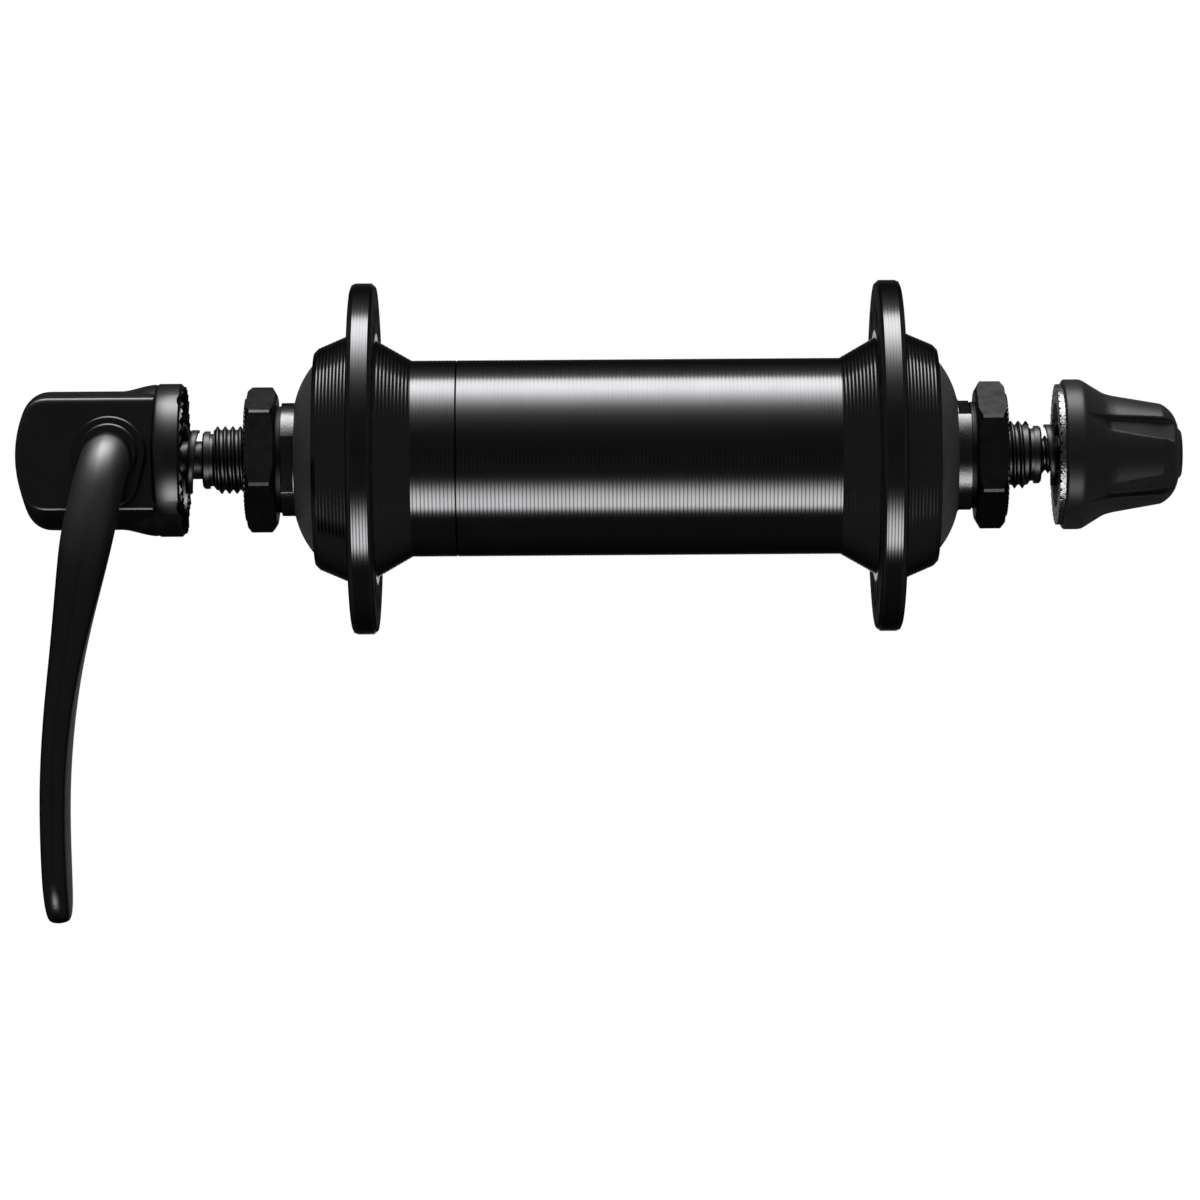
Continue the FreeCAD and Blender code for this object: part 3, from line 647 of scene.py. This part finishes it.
def buildShell(s):
    half = shellHalf(s)
    barrel = grooved((-s["barrelEnd"], s["barrel"]), (s["barrelEnd"], s["barrel"]),
                     s["barrelPitch"], s["barrelDepth"])
    # the deeper line takes the place of the groove nearest to it
    line = min(range(2, len(barrel), 3), key=lambda i: abs(barrel[i][0] - s["lineAt"]))
    barrel[line] = (barrel[line][0], s["barrel"] - s["lineDepth"])
    body = turnOutline("hubShell", barrel[:-1] + half + flipped(half)[:-1], s["steps"])
    drill = turnOutline("drill", s["drill"], s["drillSteps"])
    drills = []
    for side, first in ((-1, s["firstLeft"]), (1, s["firstRight"])):
        for i in range(s["holes"]):
            bit = copyOf(drill)
            bit.location = (side * (s["flangeIn"] + s["flangeOut"]) / 2 * mm, 0, s["holeCircle"] * mm)
            bpy.ops.object.transform_apply(location=True)
            turned(bit, first + 360 / s["holes"] * i)
            drills.append(bit)
    bpy.data.objects.remove(drill)
    cutBy(body, joined(drills, "drills"))
    closeUp(body, reach=0.001)
    smoothed(body, s["smooth"])
    finished(body, "hub", "shellBlack", "shell_black", "hub_shell")
    print("shell:", len(body.data.polygons), "faces")


buildShell(shell)


# ---- dust covers

cover = {
    "seat": 41.45, "nose": 43.4, "hub": 7.45, "noseStep": 0.38, "rim": 40.95, "skirt": 12.55,
    "back": 39.65, "wall": 0.8, "hubHeight": 2.2, "bow": 0.3, "bowSteps": 12, "edge": 0.14, "steps": 128,
}


def buildCovers(c):
    dome = bowed((c["nose"], c["hub"] + c["noseStep"]), (c["rim"], c["skirt"]), c["bow"], c["bowSteps"])
    outline = [(c["seat"], c["hub"]), (c["nose"], c["hub"])] + dome + [
        (c["back"], c["skirt"]), (c["back"], c["skirt"] - c["wall"]), (c["rim"], c["skirt"] - c["wall"]),
        (c["seat"] + c["wall"], c["hub"] + c["hubHeight"]), (c["seat"], c["hub"] + c["hubHeight"])]
    right = turnOutline("dustCoverRight", outline, c["steps"])
    softened(right, c["edge"], angle=30)
    left = mirrored(right, "dustCoverLeft")
    for piece, side in ((right, "right"), (left, "left")):
        smoothed(piece, angle=35)
        finished(piece, "axle_set", "coverBlack", "cover_black", "dust_cover_" + side)
    print("dust covers done")


buildCovers(cover)


# ---- bearing cones

bearingCone = {
    "bore": 4.5, "nose": 36.2, "noseRadius": 6.17, "shoulder": 7.8, "radius": 7.45,
    "ballPlace": 37.6, "ballRing": 8.6, "ballRadius": 2.43, "seat": 41.45, "end": 45.2,
    "flats": 13.0, "flatLength": 1.6, "edge": 0.22, "turnLeft": 7.0, "turnRight": -74.5,
    "raceSteps": 6, "shoulderStep": 0.05, "steps": 96,
    "slabWide": 20, "slabOver": 0.4, "slabRise": 1,        # the slabs that cut the flats
}


def buildCones(c):
    race = []
    for i in range(c["raceSteps"] + 1):
        a = math.radians(90 - 90 / c["raceSteps"] * i)
        x = c["ballPlace"] + c["ballRadius"] * math.cos(a)
        race.append((x, c["ballRing"] - c["ballRadius"] * math.sin(a)))
    race = [p for p in race if p[1] < c["shoulder"]]
    outline = [(c["nose"], c["bore"]), (c["nose"], c["noseRadius"])] + race + [
        (race[-1][0] + c["shoulderStep"], c["shoulder"]), (c["seat"], c["shoulder"]),
        (c["seat"], c["radius"]), (c["end"], c["radius"]), (c["end"], c["bore"])]
    right = turnOutline("coneRight", outline, c["steps"])
    high = c["radius"] + c["slabRise"] - c["flats"] / 2
    for side in (-1, 1):
        cutBy(right, block("slab", c["end"] - c["flatLength"], c["end"] + c["slabOver"], high,
                           c["slabWide"], side * (c["flats"] + high) / 2))
    closeUp(right)
    softened(right, c["edge"], angle=30, segments=3)
    left = mirrored(right, "coneLeft")
    for piece, side, turn in ((right, "right", c["turnRight"]), (left, "left", c["turnLeft"])):
        turned(piece, turn)
        smoothed(piece, angle=35)
        evened(piece)
        finished(piece, "axle_set", "coneBlack", "cone_black", "cone_" + side)
    print("cones done")


buildCones(bearingCone)


# ---- locknuts

locknut = {
    "face": 50.0, "back": 45.8, "flats": 17.0, "edge": 0.26, "backRadius": 8.45, "backDrop": 0.78,
    "shoulder": 9.0, "shoulderDrop": 0.3, "cornerDrop": 0.95,
    "bore": 4.5, "teeth": 60, "toothDepth": 0.26, "toothIn": 5.2, "toothOut": 8.05, "toothSink": 0.1,
    "faceStep": 0.05, "steps": 144, "turnLeft": -9.5, "turnRight": 0.0,
}
toothSpread = 1.1                # neighbouring teeth overlap by this at their feet


def toothRing(face, base, inner, outers):
    # ridges that run out from the axle, up to the face from the base; one outer radius for each
    step = math.tau / len(outers)
    teeth = []
    for i, outer in enumerate(outers):
        deselectAll()
        bpy.ops.mesh.primitive_cylinder_add(vertices=3, radius=1, depth=1)
        tooth = bpy.context.object
        for v in tooth.data.vertices:
            out = inner if v.co.z < 0 else outer
            ridge = v.co.y > 0
            side = 0 if ridge else math.copysign(toothSpread * out * math.tan(step / 2), v.co.x)
            v.co = Vector((face if ridge else base, side, out)) * mm
        tooth.rotation_euler.x = step * i
        bpy.ops.object.transform_apply(location=True, rotation=True)
        teeth.append(tooth)
    ring = joined(teeth, "teeth")
    closeUp(ring, reach=0.0001)
    return ring


def buildLocknuts(n):
    corner = n["flats"] / 2 / math.cos(math.radians(30))
    top = n["face"] - n["toothDepth"]
    deselectAll()
    bpy.ops.mesh.primitive_cylinder_add(
        vertices=6, radius=corner * mm, depth=(n["face"] - n["back"]) * mm,
        location=((n["face"] + n["back"]) / 2 * mm, 0, 0), rotation=(0, math.radians(90), 0))
    right = nameNew("locknutRight")
    turned(right, degrees=90)      # corners at top and bottom
    softened(right, n["edge"], angle=30, segments=1)
    envelope = turnOutline("envelope", [
        (n["back"], n["bore"]), (n["back"], n["backRadius"]), (n["back"] + n["backDrop"], corner),
        (n["face"] - n["cornerDrop"], corner), (n["face"] - n["shoulderDrop"], n["shoulder"]),
        (top, n["toothOut"] + n["faceStep"]), (top, n["bore"])], n["steps"])
    cutBy(right, envelope, "INTERSECT")
    closeUp(right)
    ring = toothRing(n["face"], top - n["toothSink"], n["toothIn"], [n["toothOut"]] * n["teeth"])
    right = joined([right, ring], "locknutRight")
    left = mirrored(right, "locknutLeft")
    for piece, side, turn in ((right, "right", n["turnRight"]), (left, "left", n["turnLeft"])):
        turned(piece, turn)
        smoothed(piece, angle=25)
        evened(piece)
        finished(piece, "axle_set", "locknutBlack", "locknut_black", "locknut_" + side)
    print("locknuts done")


buildLocknuts(locknut)


# ---- threads, axle and skewer rod

axle = {
    "left": -55.6, "right": 54.5, "radius": 4.45, "pitch": 1.0, "threadDepth": 0.5, "tip": 3.8,
    "tipLength": 0.9, "tipEdge": 0.25, "groove": 3.45, "grooveWidth": 0.45, "runIn": 0.4, "bore": 2.7,
    "threadTurns": 5, "threadGap": 0.05, "coreRise": 0.02, "steps": 96, "threadSteps": 48,
}
# a tooth's steps, as shares of the pitch and of the depth
threadTooth = ((0.1, 0), (0.34, 1), (0.12, 0), (0.34, -1), (0.1, 0))


def threaded(name, start, turns, radius, depth, pitch, steps):
    # one tooth of thread, wound along the axle
    deselectAll()
    bpy.ops.mesh.primitive_plane_add(size=0.1 * mm, location=(start * mm, 0, (radius - depth) * mm))
    piece = nameNew(name)
    bpy.ops.object.mode_set(mode="EDIT")
    bpy.ops.mesh.select_mode(type="VERT")
    bpy.ops.mesh.select_all(action="SELECT")
    bpy.ops.mesh.merge(type="CENTER")
    for dx, dr in threadTooth:
        bpy.ops.mesh.extrude_region_move(
            TRANSFORM_OT_translate={"value": (dx * pitch * mm, 0, dr * depth * mm)})
    bpy.ops.object.mode_set(mode="OBJECT")
    applied(piece, "SCREW", axis="X", angle=math.tau, screw_offset=pitch * mm, iterations=turns,
            steps=steps, render_steps=steps, use_merge_vertices=True, merge_threshold=0.001 * mm)
    bpy.ops.object.mode_set(mode="EDIT")
    bpy.ops.mesh.select_all(action="SELECT")
    bpy.ops.mesh.remove_doubles(threshold=0.002 * mm)
    bpy.ops.mesh.select_all(action="DESELECT")
    bpy.ops.mesh.select_mode(type="EDGE")
    bpy.ops.mesh.select_non_manifold()
    bpy.ops.mesh.fill()
    bpy.ops.object.mode_set(mode="OBJECT")
    closeUp(piece)
    smoothed(piece, angle=35)
    return piece


def buildAxle(a):
    step = a["tipLength"] + a["grooveWidth"]
    core = a["radius"] - a["threadDepth"] + a["coreRise"]
    ends = []
    for end, inward in ((a["left"], 1), (a["right"], -1)):
        ends.append([
            (end, a["bore"]), (end, a["tip"] - a["tipEdge"]), (end + inward * a["tipEdge"], a["tip"]),
            (end + inward * a["tipLength"], a["tip"]), (end + inward * a["tipLength"], a["groove"]),
            (end + inward * step, a["groove"]), (end + inward * (step + a["runIn"]), core)])
    tube = turnOutline("axleTube", ends[0] + ends[1][::-1], a["steps"])
    smoothed(tube, angle=35)
    pieces = [tube]
    turns = a["threadTurns"]
    long = (turns + 1) * a["pitch"]
    for name, start in (("threadLeft", a["left"] + step + a["threadGap"]),
                        ("threadRight", a["right"] - step - long - a["threadGap"])):
        pieces.append(threaded(name, start, turns, a["radius"], a["threadDepth"], a["pitch"],
                               a["threadSteps"]))
    piece = joined(pieces, "threadedAxle")
    finished(piece, "axle_set", "axleSteel", "axle_steel", "axle")
    print("axle done")


buildAxle(axle)

skewer = {
    "radius": 2.5, "threadFrom": 47.0, "end": 67.2, "pitch": 0.8, "threadDepth": 0.42, "runIn": 0.3,
    "edge": 0.15, "threadSteps": 24,
}


def buildSkewer(s):
    rod = copyNode("skewer_rod", "skewerRod")
    takeUp(rod)
    bpy.ops.object.mode_set(mode="EDIT")
    bpy.ops.mesh.select_all(action="SELECT")
    bpy.ops.mesh.bisect(plane_co=(s["threadFrom"] * mm, 0, 0), plane_no=(1, 0, 0),
                        clear_outer=True, use_fill=True)
    bpy.ops.object.mode_set(mode="OBJECT")
    softened(rod, s["edge"], angle=40)
    smoothed(rod, angle=35)
    turns = int((s["end"] - s["threadFrom"]) / s["pitch"]) - 1
    thread = threaded("rodThread", s["threadFrom"] - s["runIn"], turns, s["radius"], s["threadDepth"],
                      s["pitch"], s["threadSteps"])
    piece = joined([rod, thread], "skewerRod")
    finished(piece, "rod", "rodSteel", "rod_steel", "skewer_rod")
    print("skewer rod done")


buildSkewer(skewer)


# ---- springs of flat wire

springs = {
    "left": dict(name="springLeft", start=-62.75, end=-56.05, big=6.5, small=3.75,
                 bodies=("spring_seat", "housing"), bend=(-56.0, -62.8)),
    "right": dict(name="springRight", start=61.15, end=54.93, big=5.0, small=3.75,
                  bodies=("rod", "nut_seat"), bend=(54.9, 61.2)),
    "turns": 3.0, "width": 1.0, "thickness": 0.45, "steps": 32,
    # the wire's corners, as shares of its half width and half thickness
    "corners": ((1, 0.6), (0.75, 1), (-0.75, 1), (-1, 0.6),
                (-1, -0.6), (-0.75, -1), (0.75, -1), (1, -0.6)),
}


def buildSpring(side):
    s = springs[side]
    count = int(springs["turns"] * springs["steps"])
    toEnd = 1 if s["end"] > s["start"] else -1
    half = springs["width"] / 2
    rings = []
    for i in range(count + 1):
        t = i / count
        a = math.tau * springs["turns"] * t
        radius = s["big"] + (s["small"] - s["big"]) * t
        x = s["start"] + toEnd * half + (s["end"] - s["start"] - toEnd * springs["width"]) * t
        ring = []
        for du, dv in springs["corners"]:
            r = radius + dv * springs["thickness"] / 2
            ring.append((x + du * half, r * math.sin(a), r * math.cos(a)))
        rings.append(ring)
    piece = throughRings(s["name"], rings)
    smoothed(piece, angle=50)
    piece.data.materials.clear()
    piece.data.materials.append(paints["springSteel"])
    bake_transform(piece)
    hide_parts("spring_" + side)


buildSpring("left")
buildSpring("right")
print("springs done")


# ---- lever housing

housing = {
    "left": -79.7, "right": -61.4, "half": 7.6, "high": 9.08, "crown": 17.0, "rings": 12,
    "endRadius": 23.0, "corner": 3.2, "roundSteps": 8,
    "flareFrom": -66.8, "flareRise": 0.95, "flareSteps": 8, "slabHigh": 30,
    "skin": 0.02,                # the flare lies this far under the body's sides
    "lap": 0.5, "over": 1,       # how far forms reach into each other, and cutters past the metal
    "disc": 10.07, "discEdge": 0.25, "discSoft": 0.12,
    "bell": [(-62.3, 7.2), (-62.0, 7.6), (-61.78, 8.2), (-61.7, 9.4), (-61.52, 9.88), (-61.15, 10.07)],
    "face": -57.8, "pocket": 7.2, "pocketFloor": -62.8,
    "slotFrom": -73.3, "slotWide": 5.6, "slotHigh": 11.8, "bore": 3.95, "pivot": -67.4,
    "flareTurn": 128, "boreTurn": 96, "discTurn": 144,     # facets round
    "teeth": 36, "toothDepth": 0.35, "toothSink": 0.1, "toothGap": 0.05,
    "toothInset": 0.4, "toothDip": 1.0, "dipAngle": 14,    # teeth are shorter at the scallops
    "scallops": 4, "scallop": 4.0, "scallopDepth": 0.8, "scallopReach": 1.3, "scallopLong": 8,
    "voxel": 0.22, "smooth": 22, "turn": -5.3,
}


def housingRing(c, y):
    # the body from the side: a domed end that runs through corners into both crowned sides
    high, bend = c["high"], c["corner"]
    dome = c["left"] + c["endRadius"]
    corner = dome - math.sqrt((c["endRadius"] - bend) ** 2 - (high - bend) ** 2)
    lean = math.atan2(high - bend, dome - corner)
    points = [(c["right"], high)]
    for i in range(c["roundSteps"] + 1):
        a = math.radians(90) + (math.radians(90) - lean) * i / c["roundSteps"]
        points.append((corner + bend * math.cos(a), high - bend + bend * math.sin(a)))
    for i in range(1, c["roundSteps"]):
        a = math.pi - lean + lean * i / c["roundSteps"]
        points.append((dome + c["endRadius"] * math.cos(a), c["endRadius"] * math.sin(a)))
    points += [(c["left"], 0)] + [(x, -z) for x, z in reversed(points)]
    share = (math.sqrt(c["crown"] ** 2 - y ** 2) - c["crown"] + high) / high
    return [(x, y, z * share) for x, z in points]


def buildHousingBody(c):
    body = throughRings("leverHousing", [
        housingRing(c, c["half"] * (2 * i / c["rings"] - 1)) for i in range(c["rings"] + 1)])
    past = c["right"] + c["over"]
    flare = [(c["flareFrom"] - c["lap"], 0)]
    for i in range(c["flareSteps"] + 1):
        t = i / c["flareSteps"]
        flare.append((c["flareFrom"] + (c["right"] - c["flareFrom"]) * t,
                      c["high"] - c["skin"] + c["flareRise"] * t * t * (3 - 2 * t)))
    bell = turnOutline("flare", flare + [(c["right"], 0)], c["flareTurn"])
    slab = block("slab", c["flareFrom"] - c["over"], past, 2 * c["half"] - c["skin"], c["slabHigh"])
    cutBy(bell, slab, "INTERSECT")
    cutBy(body, bell, "UNION")
    floor = c["pocketFloor"]
    pocket = [(floor, 0), (floor, c["pocket"]), (past, c["pocket"]), (past, 0)]
    cutBy(body, turnOutline("pocket", pocket, c["boreTurn"]))
    cutBy(body, block("slot", c["slotFrom"], floor + c["lap"], c["slotWide"], c["slotHigh"]))
    side = c["half"] + c["over"]
    cutBy(body, crossBar("boreBar", c["pivot"], 0, -side, side, c["bore"], c["boreTurn"]))
    closeUp(body)
    remeshed(body, c["voxel"], c["smooth"])
    return body


def buildClampDisc(c):
    base = c["face"] - c["toothDepth"]
    disc = turnOutline("clampDisc", c["bell"] + [
        (base - c["discEdge"], c["disc"]), (base, c["disc"] - c["discEdge"]), (base, c["pocket"])],
        c["discTurn"])
    slope = math.atan2(c["scallopDepth"], c["scallopReach"])
    place = (
        (c["face"] - c["scallopDepth"] / 2 + c["scallop"] * math.cos(slope)) * mm, 0,
        (c["disc"] - c["scallopReach"] / 2 + c["scallop"] * math.sin(slope)) * mm)
    every = 360 / c["scallops"]
    for i in range(c["scallops"]):
        deselectAll()
        bpy.ops.mesh.primitive_cylinder_add(
            vertices=c["boreTurn"], radius=c["scallop"] * mm, depth=c["scallopLong"] * mm,
            location=place, rotation=(0, -slope, 0))
        cutter = nameNew("scallop")
        turned(cutter, every / 2 + every * i)
        cutBy(disc, cutter)
    closeUp(disc)
    softened(disc, c["discSoft"], angle=30)
    outers = []
    for i in range(c["teeth"]):
        off = abs(360 / c["teeth"] * i % every - every / 2)
        dip = c["toothDip"] * max(0, 1 - (off / c["dipAngle"]) ** 2)
        outers.append(c["disc"] - c["toothInset"] - dip)
    ring = toothRing(c["face"], base - c["toothSink"], c["pocket"] + c["toothGap"], outers)
    return disc, ring


def buildHousing(c):
    body = buildHousingBody(c)
    disc, ring = buildClampDisc(c)
    piece = joined([body, disc, ring], "leverHousing")
    turned(piece, c["turn"])
    smoothed(piece, angle=35)
    finished(piece, "housing", "housingBlack", "housing_black", "lever_housing")
    print("housing", len(piece.data.polygons), "faces")


buildHousing(housing)


# ---- adjusting nut

nut = {
    "face": 57.2, "base": 9.87, "edge": 0.3,
    "shoulder": [(59.3, 9.87), (59.75, 9.8), (60.1, 9.62), (62.3, 8.25), (62.7, 8.04), (63.2, 7.86),
                 (64.0, 7.66)],
    "endAt": 70.3, "end": 6.58, "buttonAt": 72.55, "button": 3.4, "buttonEdge": 0.45, "length": 73.0,
    "bow": 0.5, "bowSteps": 6, "steps": 128,
    "recess": 9.3, "seat": 58.35, "cup": 6.65, "cupEnd": 62.15, "stem": 4.55, "stemEnd": 68.75,
    "bore": 2.6, "boreEnd": 70.4, "flutes": 5, "first": 31.0,
    # each flute: place, floor radius, half width of the floor, half width at the brim
    "flute": [(60.1, 9.55, 0.2, 0.6), (63.2, 7.1, 0.9, 1.9), (68.0, 6.0, 1.3, 2.3),
              (74.5, 4.4, 1.7, 2.7)],
    "brim": 10.6, "voxel": 0.17, "smooth": 6,
}


def fluteCutter(c, turn):
    rings = []
    for x, floor, low, high in c["flute"]:
        rings.append([(x, -low, floor), (x, low, floor), (x, high, c["brim"]), (x, -high, c["brim"])])
    cutter = throughRings("flute", rings)
    turned(cutter, turn)
    return cutter


def nutOutline(c):
    outside = [(c["face"], c["recess"]), (c["face"], c["base"] - c["edge"]),
               (c["face"] + c["edge"], c["base"])]
    crown = bowed((c["endAt"], c["end"]), (c["buttonAt"], c["button"]), c["bow"], c["bowSteps"])
    inside = [
        (c["length"], c["button"] - c["buttonEdge"]), (c["length"], 0), (c["boreEnd"], 0),
        (c["boreEnd"], c["bore"]), (c["stemEnd"], c["bore"]), (c["stemEnd"], c["stem"]),
        (c["cupEnd"], c["stem"]), (c["cupEnd"], c["cup"]),
        (c["seat"], c["cup"]), (c["seat"], c["recess"])]
    return outside + c["shoulder"] + crown + inside


def buildNut(c):
    piece = turnOutline("adjustingNut", nutOutline(c), c["steps"])
    for i in range(c["flutes"]):
        cutBy(piece, fluteCutter(c, 90 - c["first"] + 360 / c["flutes"] * i))
    closeUp(piece)
    remeshed(piece, c["voxel"], c["smooth"])
    smoothed(piece, angle=60)
    finished(piece, "nut", "nutBlack", "nut_black", "adjusting_nut")
    print("nut", len(piece.data.polygons), "faces")


buildNut(nut)


# ---- lever

lever = {
    "pivot": housing["pivot"], "turn": housing["turn"], "length": 61.0,
    # the elbow, which bends down from the pivot's line
    "bendFrom": 6.5, "bendRadius": 5.7, "bendSteps": 7, "bendLean": 0.2226,
    # each station: share of the length, lean outward, stand in front of the axle, thickness, width
    "stations": [
        (0.13, 1.70, 12.15, 6.85, 6.95), (0.19, 2.58, 11.6, 6.9, 7.6), (0.25, 3.27, 10.8, 6.35, 8.3),
        (0.31, 3.96, 10.0, 5.65, 9.0), (0.43, 5.32, 8.1, 4.3, 10.8), (0.56, 6.53, 6.6, 3.65, 12.0),
        (0.72, 7.23, 5.5, 3.35, 12.6), (0.88, 6.95, 4.9, 3.35, 12.6), (0.94, 6.74, 4.75, 3.3, 11.8),
        (0.98, 6.58, 4.65, 3.1, 8.6), (1.00, 6.49, 4.6, 2.4, 4.6),
    ],
    "corner": 0.46, "cornerSteps": 3, "rounding": 2, "voxel": 0.24, "smooth": 6,
    "side": -7.7, "footThick": 1.0, "footHeel": 4.86, "footToe": 3.8, "footReach": 3.3, "footLean": 85,
    "footTurn": 96, "footFlat": 1, "collar": 3.8, "collarThick": 0.8, "neck": 3.35,
    "shaft": 3.9, "cam": 2.8, "camThrow": 1.0, "halfCam": 2.8, "shaftEnd": 7.6,
    "stemHole": 2.2, "stemDepth": 2.0, "edge": 0.2, "lap": 0.2, "camLap": 0.1, "over": 1,
}


def roundedRing(centre, run, thickness, width, share, steps):
    # a rounded oblong square to the run, its thickness along the axle
    thick = Vector((1, 0, 0))
    thick = (thick - run * run.dot(thick)).normalized()
    wide = run.cross(thick)
    corner = share * min(thickness, width)
    ring = []
    for quarter, (su, sv) in enumerate(((1, 1), (-1, 1), (-1, -1), (1, -1))):
        for step in range(steps + 1):
            a = math.radians(90 * (quarter + step / steps))
            u = su * (thickness / 2 - corner) + corner * math.cos(a)
            v = sv * (width / 2 - corner) + corner * math.sin(a)
            ring.append(centre + thick * u + wide * v)
    return ring


def buildArm(c):
    places = []
    sizes = []
    for i in range(c["bendSteps"] + 1):
        bend = math.radians(90) * i / c["bendSteps"]
        drop = c["bendRadius"] * (1 - math.cos(bend))
        places.append(Vector((c["pivot"] - c["bendLean"] * drop,
                              -c["bendFrom"] - c["bendRadius"] * math.sin(bend), -drop)))
        sizes.append((c["neck"] * 2, c["neck"] * 2))
    for share, lean, stand, thickness, width in c["stations"]:
        places.append(Vector((c["pivot"] - lean, -stand, -share * c["length"])))
        sizes.append((thickness, width))
    rings = []
    for i, (place, (thickness, width)) in enumerate(zip(places, sizes)):
        run = (places[min(i + 1, len(places) - 1)] - places[max(i - 1, 0)]).normalized()
        rings.append(roundedRing(place, run, thickness, width, c["corner"], c["cornerSteps"]))
    arm = throughRings("arm", rings)
    applied(arm, "SUBSURF", levels=c["rounding"], render_levels=c["rounding"])
    remeshed(arm, c["voxel"], c["smooth"])
    return arm


def buildFoot(c):
    front = c["side"] - c["footThick"]
    heel = crossBar("heel", c["pivot"], 0, front, c["side"], c["footHeel"], c["footTurn"])
    lean = math.radians(c["footLean"])
    toe = crossBar("toe", c["pivot"] + c["footReach"] * math.cos(lean), -c["footReach"] * math.sin(lean),
                   front, c["side"], c["footToe"], c["footTurn"])
    foot = joined([heel, toe], "foot")
    takeUp(foot)
    bpy.ops.object.mode_set(mode="EDIT")
    bpy.ops.mesh.select_all(action="SELECT")
    bpy.ops.mesh.convex_hull()
    bpy.ops.mesh.dissolve_limited(angle_limit=math.radians(c["footFlat"]))
    bpy.ops.object.mode_set(mode="OBJECT")
    collar = crossBar("collar", c["pivot"], 0, front - c["collarThick"], front + c["lap"],
                      c["collar"], c["footTurn"])
    for part in (foot, collar):
        softened(part, c["edge"], angle=40, segments=1)
    return [foot, collar]


def buildShaft(c):
    x, half = c["pivot"], c["halfCam"]
    front = crossBar("journalFront", x, 0, c["side"] - c["lap"], -half, c["shaft"])
    cam = crossBar("camBar", x - c["camThrow"], 0, -half - c["camLap"], half + c["camLap"], c["cam"])
    back = crossBar("journalBack", x, 0, half, c["shaftEnd"], c["shaft"])
    cutBy(back, crossBar("hole", x, 0, c["shaftEnd"] - c["stemDepth"], c["shaftEnd"] + c["over"],
                         c["stemHole"]))
    closeUp(back)
    for bar in (front, cam, back):
        softened(bar, c["edge"], angle=40)
    return [front, cam, back]


def buildLever(c):
    pieces = [buildArm(c)] + buildFoot(c) + buildShaft(c)
    piece = joined(pieces, "camLever")
    turned(piece, c["turn"])
    smoothed(piece, angle=40)
    finished(piece, "lever", "leverBlack", "lever_black", "cam_lever")
    print("lever", len(piece.data.polygons), "faces")


buildLever(lever)


# ---- pivot cap

cap = {
    "pivot": housing["pivot"], "turn": housing["turn"], "start": 7.7, "radius": 4.2, "wall": 0.8,
    "height": 2.4, "bow": 0.45, "bowSteps": 10, "top": 0.5, "stem": 2.2, "stemStart": 5.6,
    "edge": 0.16, "steps": 96,
}


def buildCap(c):
    crown = c["start"] + c["height"]
    stem = [(c["stemStart"], 0), (c["stemStart"], c["stem"]), (c["start"], c["stem"]),
            (c["start"], c["radius"])]
    dome = bowed((c["start"] + c["wall"], c["radius"]), (crown, c["top"]), c["bow"], c["bowSteps"])
    piece = turnOutline("pivotCap", stem + dome + [(crown, 0)], c["steps"])
    softened(piece, c["edge"], angle=40)
    takeUp(piece)
    piece.rotation_euler.z = math.radians(90)
    bpy.ops.object.transform_apply(rotation=True)
    piece.location.x = c["pivot"] * mm
    bpy.ops.object.transform_apply(location=True)
    turned(piece, c["turn"])
    smoothed(piece, angle=30)
    finished(piece, "lever", "capBlack", "cap_black", "pivot_cap")


buildCap(cap)
print("lever and cap done")


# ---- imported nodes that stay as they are

kept = {
    "bearing_cup_left": "raceSteel", "bearing_cup_right": "raceSteel",
    "ball_set_left": "ballSteel", "ball_set_right": "ballSteel",
    "ball_retainer_left": "cageSteel", "ball_retainer_right": "cageSteel",
    "seal_ring_left": "sealRubber", "seal_ring_right": "sealRubber",
    "lock_washer_left": "washerSteel", "lock_washer_right": "washerSteel",
    "nut_insert": "insertSteel",
}
for node, paint in kept.items():
    for spot in nodes[node].material_slots:
        spot.material = paints[paint]
print("nodes painted:", len(kept))
